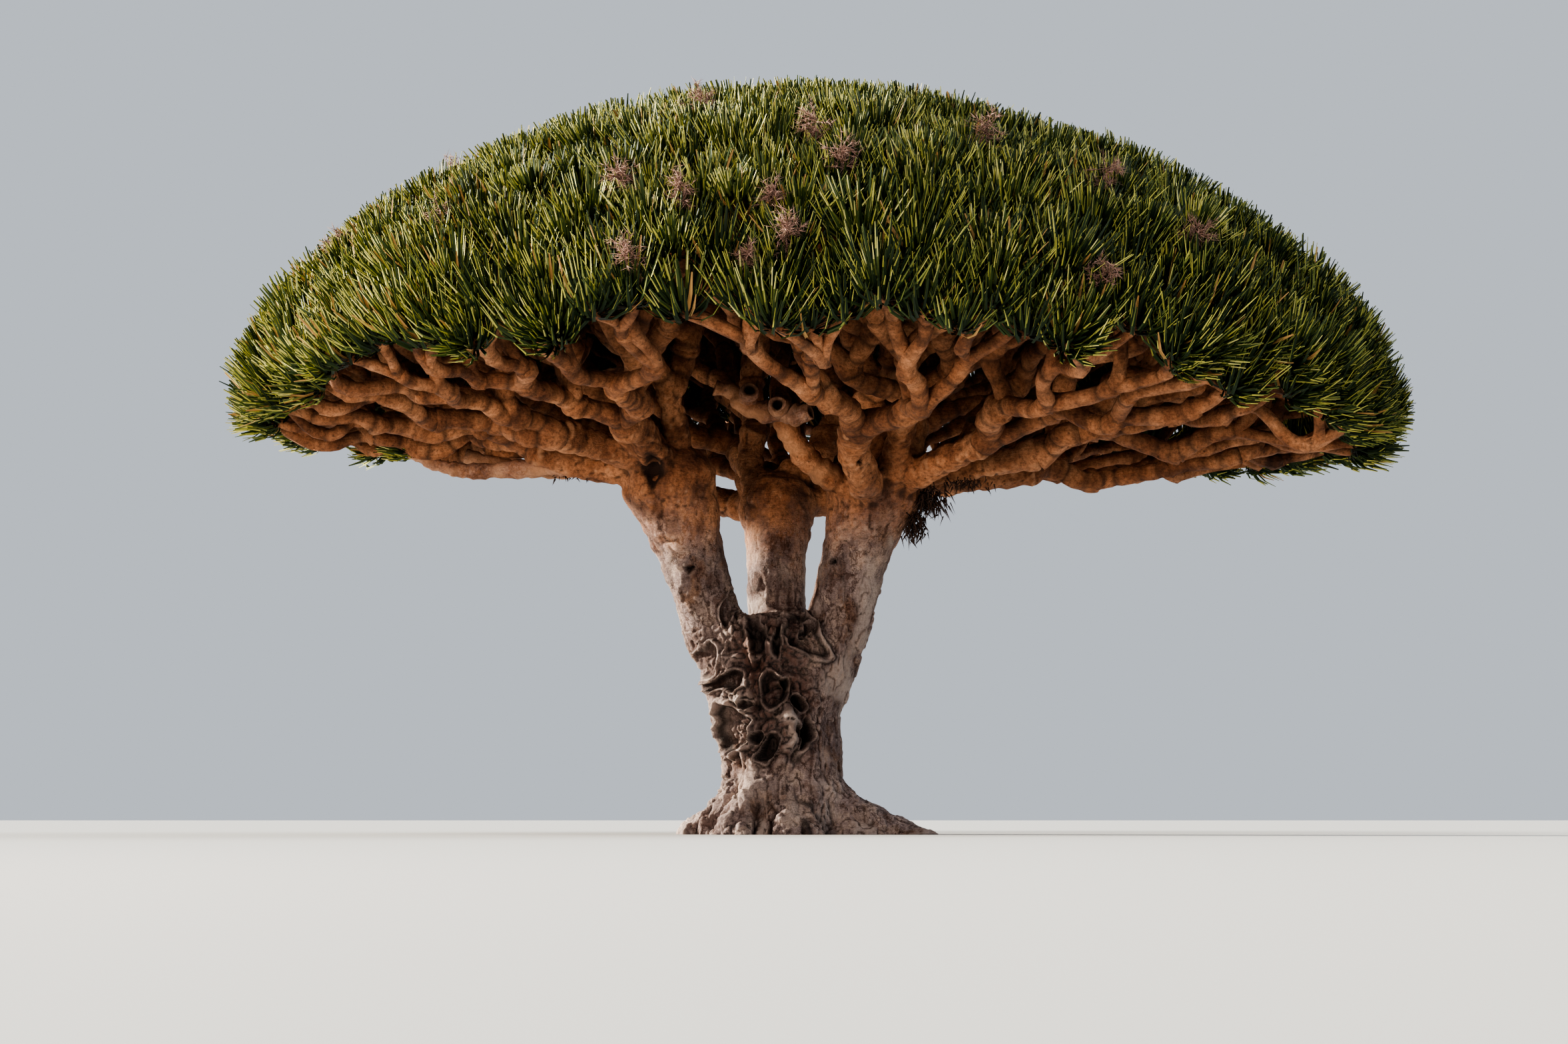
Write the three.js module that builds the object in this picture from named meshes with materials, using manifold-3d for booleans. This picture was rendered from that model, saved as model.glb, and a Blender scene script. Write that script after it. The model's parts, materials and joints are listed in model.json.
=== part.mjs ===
// A dragon blood tree: a short fluted trunk that divides into three stems, boughs that fork in two again
// and again, and an umbrella crown of stiff sword leaves over them.
// Millimetres, +Z up, origin on the ground under the trunk. -Y is the front, +X the right.
import * as THREE from "three";
import { mergeVertices } from "three/addons/utils/BufferGeometryUtils.js";
import Module from "manifold-3d";

const wasm = await Module();
wasm.setup();

// The crown's outline is a dome that springs from a level ring, the rim, and holds all the leaf tips.
const crown = {
  height: 6000,
  rimHeight: 3400,
  reach: { right: 4950, left: 4430, front: 4500, back: 4250 },
  domePower: 1.7,
  skirt: { right: -6, left: -3, front: 0, back: 3 }, // the foliage's lowest elevation, in degrees
  bands: 90,
};

// The trunk's own outline: a round body, root buttresses at the ground, three lobes under the stems.
const trunk = {
  height: 1700,
  saddle: 60,
  bodyRadius: 500,
  topRadius: 430,
  shift: [-50, 40],
  sides: 30,
  heights: [0, 50, 120, 210, 320, 460, 640, 840, 1040, 1220, 1390, 1540, 1640, 1700],
  shoulder: 1540, // above this the top rounds off into the saddle between the stems
  roots: [
    { azimuth: -8, length: 740, rise: 430, width: 26 },
    { azimuth: 40, length: 360, rise: 380, width: 20 },
    { azimuth: 92, length: 430, rise: 400, width: 22 },
    { azimuth: 140, length: 330, rise: 360, width: 20 },
    { azimuth: 188, length: 320, rise: 400, width: 22 },
    { azimuth: 232, length: 300, rise: 340, width: 18 },
    { azimuth: 283, length: 260, rise: 400, width: 17 },
  ],
  lobes: [
    { azimuth: 186, length: 335, width: 42, start: 650 },
    { azimuth: -6, length: 310, width: 42, start: 900 },
    { azimuth: 92, length: 300, width: 38, start: 800 },
  ],
};

// Each stem: the axis from inside the trunk's top to the head where its boughs part, its radii from foot
// to head, and the sector of the crown that it carries, in degrees anticlockwise from the right.
const stems = [
  {
    name: "right",
    axis: [[370, -30, 1420], [470, -60, 1800], [590, -120, 2300], [740, -180, 2770]],
    radii: [225, 262, 262, 260, 270, 300, 330],
    sector: [-102, 24],
  },
  {
    name: "rear",
    axis: [[-60, 370, 1420], [-70, 420, 1800], [-60, 500, 2300], [-50, 640, 2700]],
    radii: [210, 240, 238, 238, 245, 265, 290],
    sector: [24, 142],
  },
  {
    name: "left",
    axis: [[-510, -20, 1420], [-620, -40, 1800], [-760, -100, 2300], [-930, -160, 2850]],
    radii: [215, 250, 250, 250, 262, 290, 320],
    sector: [142, 258],
  },
];

// How limbs divide. A head parts into eight boughs at once, and each bough forks in two again and again.
// forkAt is the share of the way from the head to the leaves at which each level's limbs end, and each
// fork makes a limb thinner, down to the last twigs.
const growth = {
  seed: 20,
  forkAt: [0, 0, 0, 0.3, 0.44, 0.58, 0.72, 0.86, 1],
  boughLevel: 3,
  rosetteLevel: 6,
  lastLevel: 8,
  twigRadius: 47,
  forkPower: 4.2,
  boughTaper: [1.5, 1.2, 1.05, 1],
  twigTaper: [1, 0.85, 0.75, 0.65],
  sideTwigTaper: [0.8, 0.72, 0.62],
  bluntEnd: 0.4, // how far a limb's end stands out, in radii
  controlOut: 0.62,
  controlUp: 0.36,
  sag: 0.04,
  splitJitter: 0.16,
  targetJitter: 0.2,
  wander: 0.035,
};

// Foliage: how deep under the outline the leaves sit, and the large leaves that each stand for a spray.
const foliage = {
  rosetteDepth: 400,
  coreTop: 230,
  coreBottom: 500,
  coreGap: 70,
  coreEdge: 90,
  apex: 0.0008, // the share of the crown left open where the highest masses meet
  leafLength: 450,
  leafWidth: 140,
  leafThickness: 40,
  leafSink: 160,
  rosetteRadius: 110,
  leavesPerRosette: [2, 3],
  fewShare: 0.5, // how many of the rosettes have the smaller count
  lean: [26, 44],
  closeLean: 15, // for a leaf that has no room to lean further
  overhang: 8, // degrees below the skirt that the lowest leaves may reach
  flowerRadius: 75,
  flowerLength: 330,
};

// The dry flower heads: the azimuth of each in degrees, and the share of the crown that lies above it.
const flowerHeads = [
  [-84, 0.39], [-81, 0.56], [-90, 0.68], [-99, 0.68], [-93, 0.93], [-88, 0.9], [257, 0.96], [249, 0.57],
  [251, 0.26], [229, 0.63], [204, 0.59], [-60, 0.88], [-53, 0.57], [-63, 0.47], [-45, 0.7], [8, 0.5],
  [30, 0.8], [55, 0.35], [75, 0.7], [100, 0.5], [118, 0.85], [150, 0.45], [170, 0.75], [185, 0.3],
];

const sides = { stem: 12, bough: 7, twig: 3 };

// Limbs with no leaves. One in front was sawn off and ends in a forked stump. Two more hang low on the left.
const deadLimbs = [
  {
    name: "cut_limb",
    bars: [
      { axis: [[560, -300, 2700], [190, -470, 2930], [-110, -650, 3230]], radii: [112, 104, 100, 96] },
      { axis: [[-560, -700, 3430], [-170, -690, 3290], [215, -740, 3270]], radii: [68, 88, 92, 78] },
    ],
  },
  {
    name: "dead_limb_1",
    bars: [{ axis: [[-1680, -190, 2940], [-2370, 60, 2950], [-3060, 110, 3110]], radii: [74, 62, 58, 50] }],
  },
  {
    name: "dead_limb_2",
    bars: [{ axis: [[-1600, 290, 2940], [-2180, 400, 2960], [-2590, 420, 3060]], radii: [72, 64, 58, 54] }],
  },
];

const clearance = 0.3; // the gap at which limbs meet
const weldDistance = 1e-3;
const up = new THREE.Vector3(0, 0, 1);
const focus = new THREE.Vector3(0, 0, crown.rimHeight);
const radians = THREE.MathUtils.degToRad;
const mix = THREE.MathUtils.lerp;

// A repeatable random number from 0 to 1 for a cell's number and a key.
function chance(cell, key) {
  let hash = growth.seed;
  for (const value of [cell, key]) {
    hash = Math.imul(hash ^ value, 0x85ebca6b) >>> 0;
    hash = (hash ^ (hash >>> 13)) >>> 0;
    hash = Math.imul(hash, 0xc2b2ae35) >>> 0;
    hash = (hash ^ (hash >>> 16)) >>> 0;
  }
  return hash / 4294967296;
}

const spread = (cell, key) => 2 * chance(cell, key) - 1;

// The crown's radius at the rim, from its four named reaches.
function rimReach(azimuth) {
  const { right, left, front, back } = crown.reach;
  const mean = (right + left + front + back) / 4;
  const oval = (right + left - front - back) / 4;
  return (
    mean +
    (oval * Math.cos(2 * azimuth)) +
    ((right - left) / 2) * Math.cos(azimuth) +
    ((back - front) / 2) * Math.sin(azimuth)
  );
}

// Distance from the focus to the outline. The outline is a superellipse in every upright plane.
function outlineReach(azimuth, elevation, rim = rimReach(azimuth)) {
  const out = (Math.cos(elevation) / rim) ** crown.domePower;
  const lift = Math.max(0, Math.sin(elevation)) / (crown.height - crown.rimHeight);
  return (out + lift ** crown.domePower) ** (-1 / crown.domePower);
}

// The lowest elevation of the foliage at an azimuth.
function skirt(azimuth) {
  const { right, left, front, back } = crown.skirt;
  const end = Math.sin(azimuth) > 0 ? back : front;
  const side = Math.cos(azimuth) > 0 ? right : left;
  return radians(mix(end, side, Math.cos(azimuth) ** 2));
}

// The share of the dome's surface above each of a row of even sweeps from its top to the rim.
const shareTable = (() => {
  const mean = rimReach(Math.PI / 4);
  const table = [0];
  const at = (i) => {
    const elevation = (Math.PI / 2) * (1 - i / crown.bands);
    const reach = outlineReach(0, elevation, mean);
    return [reach * Math.cos(elevation), reach * Math.sin(elevation)];
  };
  for (let i = 0; i < crown.bands; i++) {
    const [x0, z0] = at(i);
    const [x1, z1] = at(i + 1);
    table.push(table[i] + ((x0 + x1) / 2) * Math.hypot(x1 - x0, z1 - z0));
  }
  return table.map((area) => area / table[crown.bands]);
})();

// The sweep from the dome's top, 0 to 1, that has a given share of its surface above it.
function sweepOf(share) {
  const i = Math.min(crown.bands - 1, Math.max(0, shareTable.findIndex((s) => s > share) - 1));
  const last = share >= shareTable[crown.bands] ? crown.bands - 1 : i;
  const part = (share - shareTable[last]) / (shareTable[last + 1] - shareTable[last]);
  return (last + part) / crown.bands;
}

const elevationOf = (azimuth, share) =>
  mix(Math.PI / 2, skirt(azimuth), sweepOf(THREE.MathUtils.clamp(share, 0, 1)));

function directionOf(azimuth, elevation) {
  const level = Math.cos(elevation);
  return new THREE.Vector3(level * Math.cos(azimuth), level * Math.sin(azimuth), Math.sin(elevation));
}

// A point of the crown, a depth below the outline.
function crownPoint(azimuth, share, depth) {
  const elevation = elevationOf(azimuth, share);
  const reach = outlineReach(azimuth, elevation) - depth;
  return directionOf(azimuth, elevation).multiplyScalar(reach).add(focus);
}

// A cell is a four-sided piece of the crown, with the limb that grows to it. Halving it across its longer
// way gives the cells of the next two limbs.
function halves(cell) {
  const [a0, a1] = cell.azimuth;
  const [s0, s1] = cell.share;
  const azimuth = (a0 + a1) / 2;
  const share = (s0 + s1) / 2;
  const middle = crownPoint(azimuth, share, 0);
  const across = (a1 - a0) * Math.hypot(middle.x, middle.y);
  const down = crownPoint(azimuth, s0, 0).distanceTo(crownPoint(azimuth, s1, 0));
  const cut = 0.5 + (growth.splitJitter / 2) * spread(cell.id, 3);
  const child = (side, azimuths, shares) => ({
    ...cell,
    id: 2 * cell.id + side,
    level: cell.level + 1,
    azimuth: azimuths,
    share: shares,
  });
  if (across > down) {
    const at = mix(a0, a1, cut);
    return [child(0, [a0, at], cell.share), child(1, [at, a1], cell.share)];
  }
  const at = mix(s0, s1, cut);
  return [child(0, cell.azimuth, [s0, at]), child(1, cell.azimuth, [at, s1])];
}

function descendants(cell, level) {
  return cell.level === level ? [cell] : halves(cell).flatMap((c) => descendants(c, level));
}

// The way from a stem's head to a cell's middle: outwards first, then up into the leaves.
function leader(cell) {
  const [a0, a1] = cell.azimuth;
  const [s0, s1] = cell.share;
  const jitter = growth.targetJitter / 2;
  const azimuth = mix(a0, a1, 0.5 + jitter * spread(cell.id, 1));
  const share = mix(s0, s1, 0.5 + jitter * spread(cell.id, 2));
  const target = crownPoint(azimuth, share, foliage.rosetteDepth);
  const way = target.clone().sub(cell.head);
  const level = Math.hypot(way.x, way.y);
  const control = new THREE.Vector3(
    cell.head.x + growth.controlOut * way.x,
    cell.head.y + growth.controlOut * way.y,
    cell.head.z + growth.controlUp * way.z - growth.sag * level,
  );
  return new THREE.QuadraticBezierCurve3(cell.head, control, target);
}

// Where a cell's limb forks: a point of its leader, moved aside a little.
function forkPoint(cell) {
  const point = leader(cell).getPoint(growth.forkAt[cell.level]);
  const wander = growth.wander * cell.head.distanceTo(point);
  return point.add(
    new THREE.Vector3(spread(cell.id, 4), spread(cell.id, 5), spread(cell.id, 6)).multiplyScalar(wander),
  );
}

const limbRadius = (level) => growth.twigRadius * 2 ** ((growth.lastLevel - level) / growth.forkPower);

// The axis of the bough that grows from its stem's head to the cell's first fork.
function boughAxis(cell) {
  const end = forkPoint(cell);
  const third = cell.head.distanceTo(end) / 3;
  const leave = leader(cell).getTangent(0);
  const arrive = leader(cell).getTangent(growth.forkAt[cell.level]);
  return new THREE.CubicBezierCurve3(
    cell.head,
    cell.head.clone().addScaledVector(leave, third),
    end.clone().addScaledVector(arrive, -third),
    end,
  );
}

// A closed mesh as a solid, its shared vertices merged and its folded faces dropped.
function solidOf(geometry) {
  const bare = geometry.clone();
  bare.deleteAttribute("normal");
  bare.deleteAttribute("uv");
  const merged = mergeVertices(bare, weldDistance);
  const corners = merged.index.array;
  const kept = [];
  for (let i = 0; i < corners.length; i += 3) {
    const [a, b, c] = corners.slice(i, i + 3);
    if (a !== b && b !== c && c !== a) kept.push(a, b, c);
  }
  return new wasm.Manifold(
    new wasm.Mesh({
      numProp: 3,
      vertProperties: merged.attributes.position.array,
      triVerts: Uint32Array.from(kept),
    }),
  );
}

function geometryOf(solid) {
  const mesh = solid.getMesh();
  const geometry = new THREE.BufferGeometry();
  geometry.setAttribute("position", new THREE.BufferAttribute(mesh.vertProperties, 3));
  geometry.setIndex(new THREE.BufferAttribute(mesh.triVerts, 1));
  geometry.computeVertexNormals();
  return geometry;
}

// The largest body of a solid: a cut can leave a loose scrap.
function largest(solid) {
  return solid.decompose().reduce((best, body) => (body.volume() > best.volume() ? body : best));
}

// Moves every vertex of a geometry by a rule.
function reshape(geometry, rule) {
  const place = geometry.getAttribute("position");
  const point = new THREE.Vector3();
  for (let i = 0; i < place.count; i++) {
    const moved = rule(point.fromBufferAttribute(place, i));
    place.setXYZ(i, moved.x, moved.y, moved.z);
  }
  return geometry;
}

// A round bar with even rings, turned about Z from a profile of [radius, height] pairs.
function turned(profile, count) {
  const points = profile.map(([radius, height]) => new THREE.Vector2(radius, height));
  return new THREE.LatheGeometry(points, count).rotateX(Math.PI / 2);
}

// A limb: a turned bar with blunt ends, bent along its axis. grow makes it fatter and longer all round.
function limb(axis, radii, count, grow = 0) {
  const length = axis.getLength();
  const rings = radii.length - 1;
  const blunt = count > sides.twig ? growth.bluntEnd : 0;
  const profile = [
    [0, -blunt * radii[0] - grow],
    ...radii.map((radius, i) => [radius + grow, (i / rings) * length]),
    [0, length + blunt * radii[rings] + grow],
  ];
  const frames = axis.computeFrenetFrames(rings);
  return solidOf(
    reshape(turned(profile, count), (p) => {
      const share = THREE.MathUtils.clamp(p.z / length, 0, 1);
      const ring = Math.round(share * rings);
      const over = p.z - share * length;
      return axis
        .getPointAt(share)
        .addScaledVector(frames.tangents[ring], over)
        .addScaledVector(frames.normals[ring], p.x)
        .addScaledVector(frames.binormals[ring], p.y);
    }),
  );
}

// The trunk's radius about its own leaning axis.
const bump = (angle, middle, width) => {
  const turn = Math.abs(THREE.MathUtils.euclideanModulo(angle - middle + 180, 360) - 180);
  return Math.exp(-((turn / width) ** 2));
};

function trunkRadius(angle, height) {
  let radius = mix(trunk.bodyRadius, trunk.topRadius, height / trunk.height);
  for (const root of trunk.roots) {
    const left = Math.max(0, 1 - height / root.rise);
    radius += root.length * left ** 1.5 * bump(angle, root.azimuth, root.width);
  }
  for (const lobe of trunk.lobes) {
    const rise = Math.max(0, (height - lobe.start) / (trunk.height - lobe.start));
    radius += lobe.length * rise * bump(angle, lobe.azimuth, lobe.width);
  }
  return radius;
}

// The trunk turned from a profile of shares of its radius: all of it up to the shoulder, and a quarter
// of an oval from there to the saddle.
function trunkSolid(grow = 0) {
  const top = trunk.height + trunk.saddle;
  const over = (height) => Math.max(0, height - trunk.shoulder) / (top - trunk.shoulder);
  const share = (height) => Math.sqrt(1 - over(height) ** 2);
  const profile = [
    [0, -grow],
    ...trunk.heights.map((height) => [share(height), height + (height > 0 ? grow : -grow)]),
    [0, top + grow],
  ];
  return solidOf(
    reshape(turned(profile, trunk.sides), (p) => {
      const angle = Math.atan2(p.y, p.x);
      const whole = trunkRadius(THREE.MathUtils.radToDeg(angle), p.z) + grow;
      const radius = whole * Math.hypot(p.x, p.y);
      const lean = p.z / trunk.height;
      return p.set(
        radius * Math.cos(angle) + trunk.shift[0] * lean,
        radius * Math.sin(angle) + trunk.shift[1] * lean,
        p.z,
      );
    }),
  );
}

// Cuts a new limb clear of every limb before it, so that they meet with a hair's gap. The shape is a
// function that makes the limb's solid, grown all round by a distance.
const placed = [];
function fitted(shape) {
  let solid = shape(0);
  for (const other of placed) solid = solid.subtract(other);
  placed.push(shape(clearance));
  return largest(solid);
}

// A mass's core: a cushion of the crown that fills the cell but for a gap, thinner towards its edges.
function core(cell) {
  const [a0, a1] = cell.azimuth;
  const [s0, s1] = cell.share;
  const middle = crownPoint((a0 + a1) / 2, (s0 + s1) / 2, foliage.coreTop);
  const down = crownPoint(a0, s0, 0).distanceTo(crownPoint(a0, s1, 0));
  const gapAcross = foliage.coreGap / Math.hypot(middle.x, middle.y);
  const gapDown = (foliage.coreGap * (s1 - s0)) / down;
  const top = s0 > 0 ? s0 + gapDown : foliage.apex;
  return solidOf(
    reshape(new THREE.BoxGeometry(1, 1, 1, 2, 3, 1), (p) => {
      const edge = Math.max(Math.abs(p.x), Math.abs(p.y)) * 2;
      const thin = foliage.coreEdge * edge ** 2;
      const depth = p.z > 0 ? foliage.coreTop + thin : foliage.coreBottom - thin;
      const azimuth = mix(a0 + gapAcross, a1 - gapAcross, p.x + 0.5);
      return crownPoint(azimuth, mix(top, s1 - gapDown, 0.5 - p.y), depth);
    }),
  );
}

// True where a point keeps to a cell's own space, seen from the focus.
function within(cell, point) {
  const from = point.clone().sub(focus);
  const distance = from.length();
  const middle = (cell.azimuth[0] + cell.azimuth[1]) / 2;
  const turn = Math.atan2(from.y, from.x) - middle;
  const azimuth = middle + Math.atan2(Math.sin(turn), Math.cos(turn));
  const elevation = Math.asin(from.z / distance);
  const high = elevationOf(azimuth, cell.share[0]);
  const low = elevationOf(azimuth, cell.share[1]) - (cell.share[1] === 1 ? radians(foliage.overhang) : 0);
  const margin = foliage.leafThickness / distance;
  const sideways = margin / Math.cos(elevation);
  return (
    azimuth > cell.azimuth[0] + sideways &&
    azimuth < cell.azimuth[1] - sideways &&
    elevation > low + margin &&
    elevation < high - (cell.share[0] > 0 ? margin : 0)
  );
}

// A leaf: a stiff keeled blade, widest where it leaves the core and drawn out to a point.
function leaf(root, way, across) {
  const blade = new THREE.ConeGeometry(1, 1, 3).rotateX(Math.PI / 2);
  const normal = new THREE.Vector3().crossVectors(way, across).normalize();
  const side = new THREE.Vector3().crossVectors(normal, way).normalize();
  return solidOf(
    reshape(blade, (p) =>
      root
        .clone()
        .addScaledVector(way, (p.z + 0.5) * foliage.leafLength)
        .addScaledVector(side, (p.x * foliage.leafWidth) / 2)
        .addScaledVector(normal, (p.y * foliage.leafThickness) / 2),
    ),
  );
}

// The place inside the core where a rosette's leaves are rooted, and its frame: outwards from the crown,
// level across it, and up across it.
function rosetteFrame(cell) {
  const { v2: middle } = leader(cell);
  const out = middle.clone().sub(focus).normalize();
  const east = new THREE.Vector3().crossVectors(up, out).normalize();
  const north = new THREE.Vector3().crossVectors(out, east);
  const lift = foliage.rosetteDepth - foliage.coreTop - foliage.leafSink;
  return { root: middle.clone().addScaledVector(out, lift), out, east, north };
}

// The leaves of one rosette: they lean out evenly round its middle. One whose tip would leave the
// mass's space stands more upright, or is skipped.
function rosette(cell, mass) {
  const { root: middle, out, east, north } = rosetteFrame(cell);
  const turn = 2 * Math.PI * chance(cell.id, 11);
  const leaves = [];
  const [few, many] = foliage.leavesPerRosette;
  const count = chance(cell.id, 10) < foliage.fewShare ? few : many;
  for (let i = 0; i < count; i++) {
    const angle = turn + (2 * Math.PI * i) / count;
    const sideways = east.clone().multiplyScalar(Math.cos(angle)).addScaledVector(north, Math.sin(angle));
    const root = middle.clone().addScaledVector(sideways, foliage.rosetteRadius);
    for (const degrees of [mix(...foliage.lean, chance(cell.id, 12 + i)), foliage.closeLean]) {
      const lean = radians(degrees);
      const way = out.clone().multiplyScalar(Math.cos(lean)).addScaledVector(sideways, Math.sin(lean));
      if (within(mass, root.clone().addScaledVector(way, foliage.leafLength))) {
        leaves.push(leaf(root, way, sideways));
        break;
      }
    }
  }
  return leaves;
}

function bearsFlowers(cell) {
  return flowerHeads.some(
    ([azimuth, share]) =>
      radians(azimuth) >= cell.azimuth[0] &&
      radians(azimuth) < cell.azimuth[1] &&
      share >= cell.share[0] &&
      share < cell.share[1],
  );
}

// A dry flower head: a slender spindle that stands up among the leaves of its rosette.
function flowerHead(cell) {
  const { root, out, east, north } = rosetteFrame(cell);
  return solidOf(
    reshape(new THREE.OctahedronGeometry(1), (p) =>
      root
        .clone()
        .addScaledVector(out, (p.z + 1) * (foliage.flowerLength / 2))
        .addScaledVector(east, p.x * foliage.flowerRadius)
        .addScaledVector(north, p.y * foliage.flowerRadius),
    ),
  );
}

// The three-sided twigs of a mass. Each fork's first twig runs on from the limb before it, and the second
// leaves it there, so that a fork costs few faces. They end inside the core.
function twigs(cell, grow) {
  const thick = limbRadius(cell.level + 1);
  const twig = (places, taper) =>
    limb(new THREE.CatmullRomCurve3(places), taper.map((share) => share * thick), sides.twig, grow);
  return halves(cell).flatMap((branch) => {
    const [near, far] = halves(branch);
    const fork = forkPoint(branch);
    return [
      twig([forkPoint(cell), fork, forkPoint(near), leader(near).v2], growth.twigTaper),
      twig([fork, forkPoint(far), leader(far).v2], growth.sideTwigTaper),
    ];
  });
}

const fused = (solids) => solids.reduce((all, solid) => all.add(solid));

// A mass of foliage: the twigs from its bough's end onwards, the core, the leaves and any flower heads,
// fused into one body. A leaf that misses the core at the mass's edge falls away.
function mass(cell) {
  const wood = fitted((grow) => fused(twigs(cell, grow)));
  const places = descendants(cell, growth.rosetteLevel);
  const leaves = places.flatMap((place) => rosette(place, cell));
  const flowers = places.filter(bearsFlowers).map(flowerHead);
  return largest(fused([wood, core(cell), ...leaves, ...flowers]));
}

const barkPale = new THREE.MeshStandardMaterial({ color: 0x9c8672, roughness: 0.9, metalness: 0 });
const barkWarm = new THREE.MeshStandardMaterial({ color: 0x8a5a38, roughness: 0.85, metalness: 0 });
const leafGreen = new THREE.MeshStandardMaterial({ color: 0x55682a, roughness: 0.5, metalness: 0 });

const tree = new THREE.Group();
tree.name = "dragon_blood_tree";

function add(name, solid, material) {
  const mesh = new THREE.Mesh(geometryOf(solid), material);
  mesh.name = name;
  tree.add(mesh);
}

add("trunk", fitted(trunkSolid), barkPale);

const vector = (place) => new THREE.Vector3(...place);
const curve = (places) => new THREE.CatmullRomCurve3(places.map(vector));
const sectors = stems.map((stem, i) => ({
  id: 4 + i,
  level: 0,
  azimuth: stem.sector.map(radians),
  share: [0, 1],
  head: vector(stem.axis[3]),
}));

for (const { name, axis, radii } of stems) {
  add(`stem_${name}`, fitted((grow) => limb(curve(axis), radii, sides.stem, grow)), barkPale);
}

const boughRadii = growth.boughTaper.map((share) => share * limbRadius(growth.boughLevel));
stems.forEach(({ name }, i) => {
  descendants(sectors[i], growth.boughLevel).forEach((cell, n) => {
    const bough = fitted((grow) => limb(boughAxis(cell), boughRadii, sides.bough, grow));
    add(`bough_${name}_${n + 1}`, bough, barkWarm);
  });
});

for (const { name, bars } of deadLimbs) {
  const shape = (grow) => fused(bars.map((bar) => limb(curve(bar.axis), bar.radii, sides.bough, grow)));
  add(name, fitted(shape), barkPale);
}

stems.forEach(({ name }, i) => {
  descendants(sectors[i], growth.boughLevel).forEach((cell, n) => {
    add(`foliage_${name}_${n + 1}`, mass(cell), leafGreen);
  });
});

export default tree;
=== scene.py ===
import json
import math

import bmesh
import bpy
import numpy as np
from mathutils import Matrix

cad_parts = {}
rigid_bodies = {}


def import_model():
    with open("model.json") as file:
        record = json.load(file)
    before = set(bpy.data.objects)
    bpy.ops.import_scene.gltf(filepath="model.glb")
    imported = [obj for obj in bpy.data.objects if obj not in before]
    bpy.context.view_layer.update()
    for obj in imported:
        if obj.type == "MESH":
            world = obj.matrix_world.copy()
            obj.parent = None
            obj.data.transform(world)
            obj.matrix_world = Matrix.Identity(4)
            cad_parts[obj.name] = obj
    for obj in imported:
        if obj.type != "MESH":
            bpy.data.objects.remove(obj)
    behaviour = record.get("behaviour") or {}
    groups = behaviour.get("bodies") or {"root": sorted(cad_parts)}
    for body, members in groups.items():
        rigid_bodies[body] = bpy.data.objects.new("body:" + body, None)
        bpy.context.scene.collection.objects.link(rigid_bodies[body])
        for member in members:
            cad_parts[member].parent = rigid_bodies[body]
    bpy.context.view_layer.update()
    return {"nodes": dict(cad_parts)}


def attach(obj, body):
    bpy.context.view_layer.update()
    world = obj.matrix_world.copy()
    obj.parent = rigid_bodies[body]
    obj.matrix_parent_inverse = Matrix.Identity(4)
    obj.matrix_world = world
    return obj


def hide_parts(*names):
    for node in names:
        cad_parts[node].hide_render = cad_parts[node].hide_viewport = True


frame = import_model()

# An old umbrella tree: a fluted, hollowed trunk, three stems, limbs that fork in two again and again,
# and a dome of sword leaves. Metres, +Z up, -Y is the front.

stemNames = ["right", "rear", "left"]


# Small helpers

# Vectors divided by their lengths.
def unit(vectors):
    return vectors / np.maximum(np.linalg.norm(vectors, axis=-1, keepdims=True), 1e-9)


# 0 below the low value, 1 above the high one, and an S-shaped cubic between them.
def smoothStep(low, high, values):
    part = np.clip((values - low) / (high - low), 0, 1)
    return part * part * (3 - 2 * part)


# Repeatable values from -1 to 1 at the corners of a unit lattice, from their whole-number places.
def latticeValue(x, y, z, seed):
    mask = np.int64(0xFFFFFFFF)
    h = (x * 73856093 ^ y * 19349663 ^ z * 83492791 ^ np.int64(seed) * 2654435761) & mask
    h = ((h ^ (h >> 15)) * 2246822519) & mask
    h = ((h ^ (h >> 13)) * 3266489917) & mask
    return ((h ^ (h >> 16)) & 0xFFFF) / 32767.5 - 1


# Smooth noise: the eight corner values of the lattice cell round a point, mixed by eased distances.
def smoothNoise(points, size, seed):
    place = points / np.asarray(size, float)
    corner = np.floor(place).astype(np.int64)
    part = place - corner
    ease = part * part * part * (part * (part * 6 - 15) + 10)
    total = np.zeros(len(points))
    for step in range(8):
        dx, dy, dz = step & 1, (step >> 1) & 1, (step >> 2) & 1
        weight = np.abs(1 - dx - ease[:, 0]) * np.abs(1 - dy - ease[:, 1]) * np.abs(1 - dz - ease[:, 2])
        total += weight * latticeValue(corner[:, 0] + dx, corner[:, 1] + dy, corner[:, 2] + dz, seed)
    return total


# A new mesh object from whole arrays of points, four-sided faces and three-sided faces.
def meshPiece(name, points, quads, triangles, materials, faceMaterials=None):
    quads = np.asarray(quads, np.int32).reshape(-1, 4)
    triangles = np.asarray(triangles, np.int32).reshape(-1, 3)
    mesh = bpy.data.meshes.new(name)
    mesh.vertices.add(len(points))
    mesh.vertices.foreach_set("co", np.asarray(points, np.float32).ravel())
    mesh.loops.add(quads.size + triangles.size)
    mesh.loops.foreach_set("vertex_index", np.concatenate([quads.ravel(), triangles.ravel()]))
    starts = np.concatenate([np.arange(len(quads)) * 4, quads.size + np.arange(len(triangles)) * 3])
    mesh.polygons.add(len(starts))
    mesh.polygons.foreach_set("loop_start", starts.astype(np.int32))
    if faceMaterials is not None:
        mesh.polygons.foreach_set("material_index", np.asarray(faceMaterials, np.int32))
    mesh.polygons.foreach_set("use_smooth", np.ones(len(starts), bool))
    mesh.update(calc_edges=True)
    mesh.validate()
    for material in materials:
        mesh.materials.append(material)
    piece = bpy.data.objects.new(name, mesh)
    bpy.context.scene.collection.objects.link(piece)
    return piece


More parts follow.
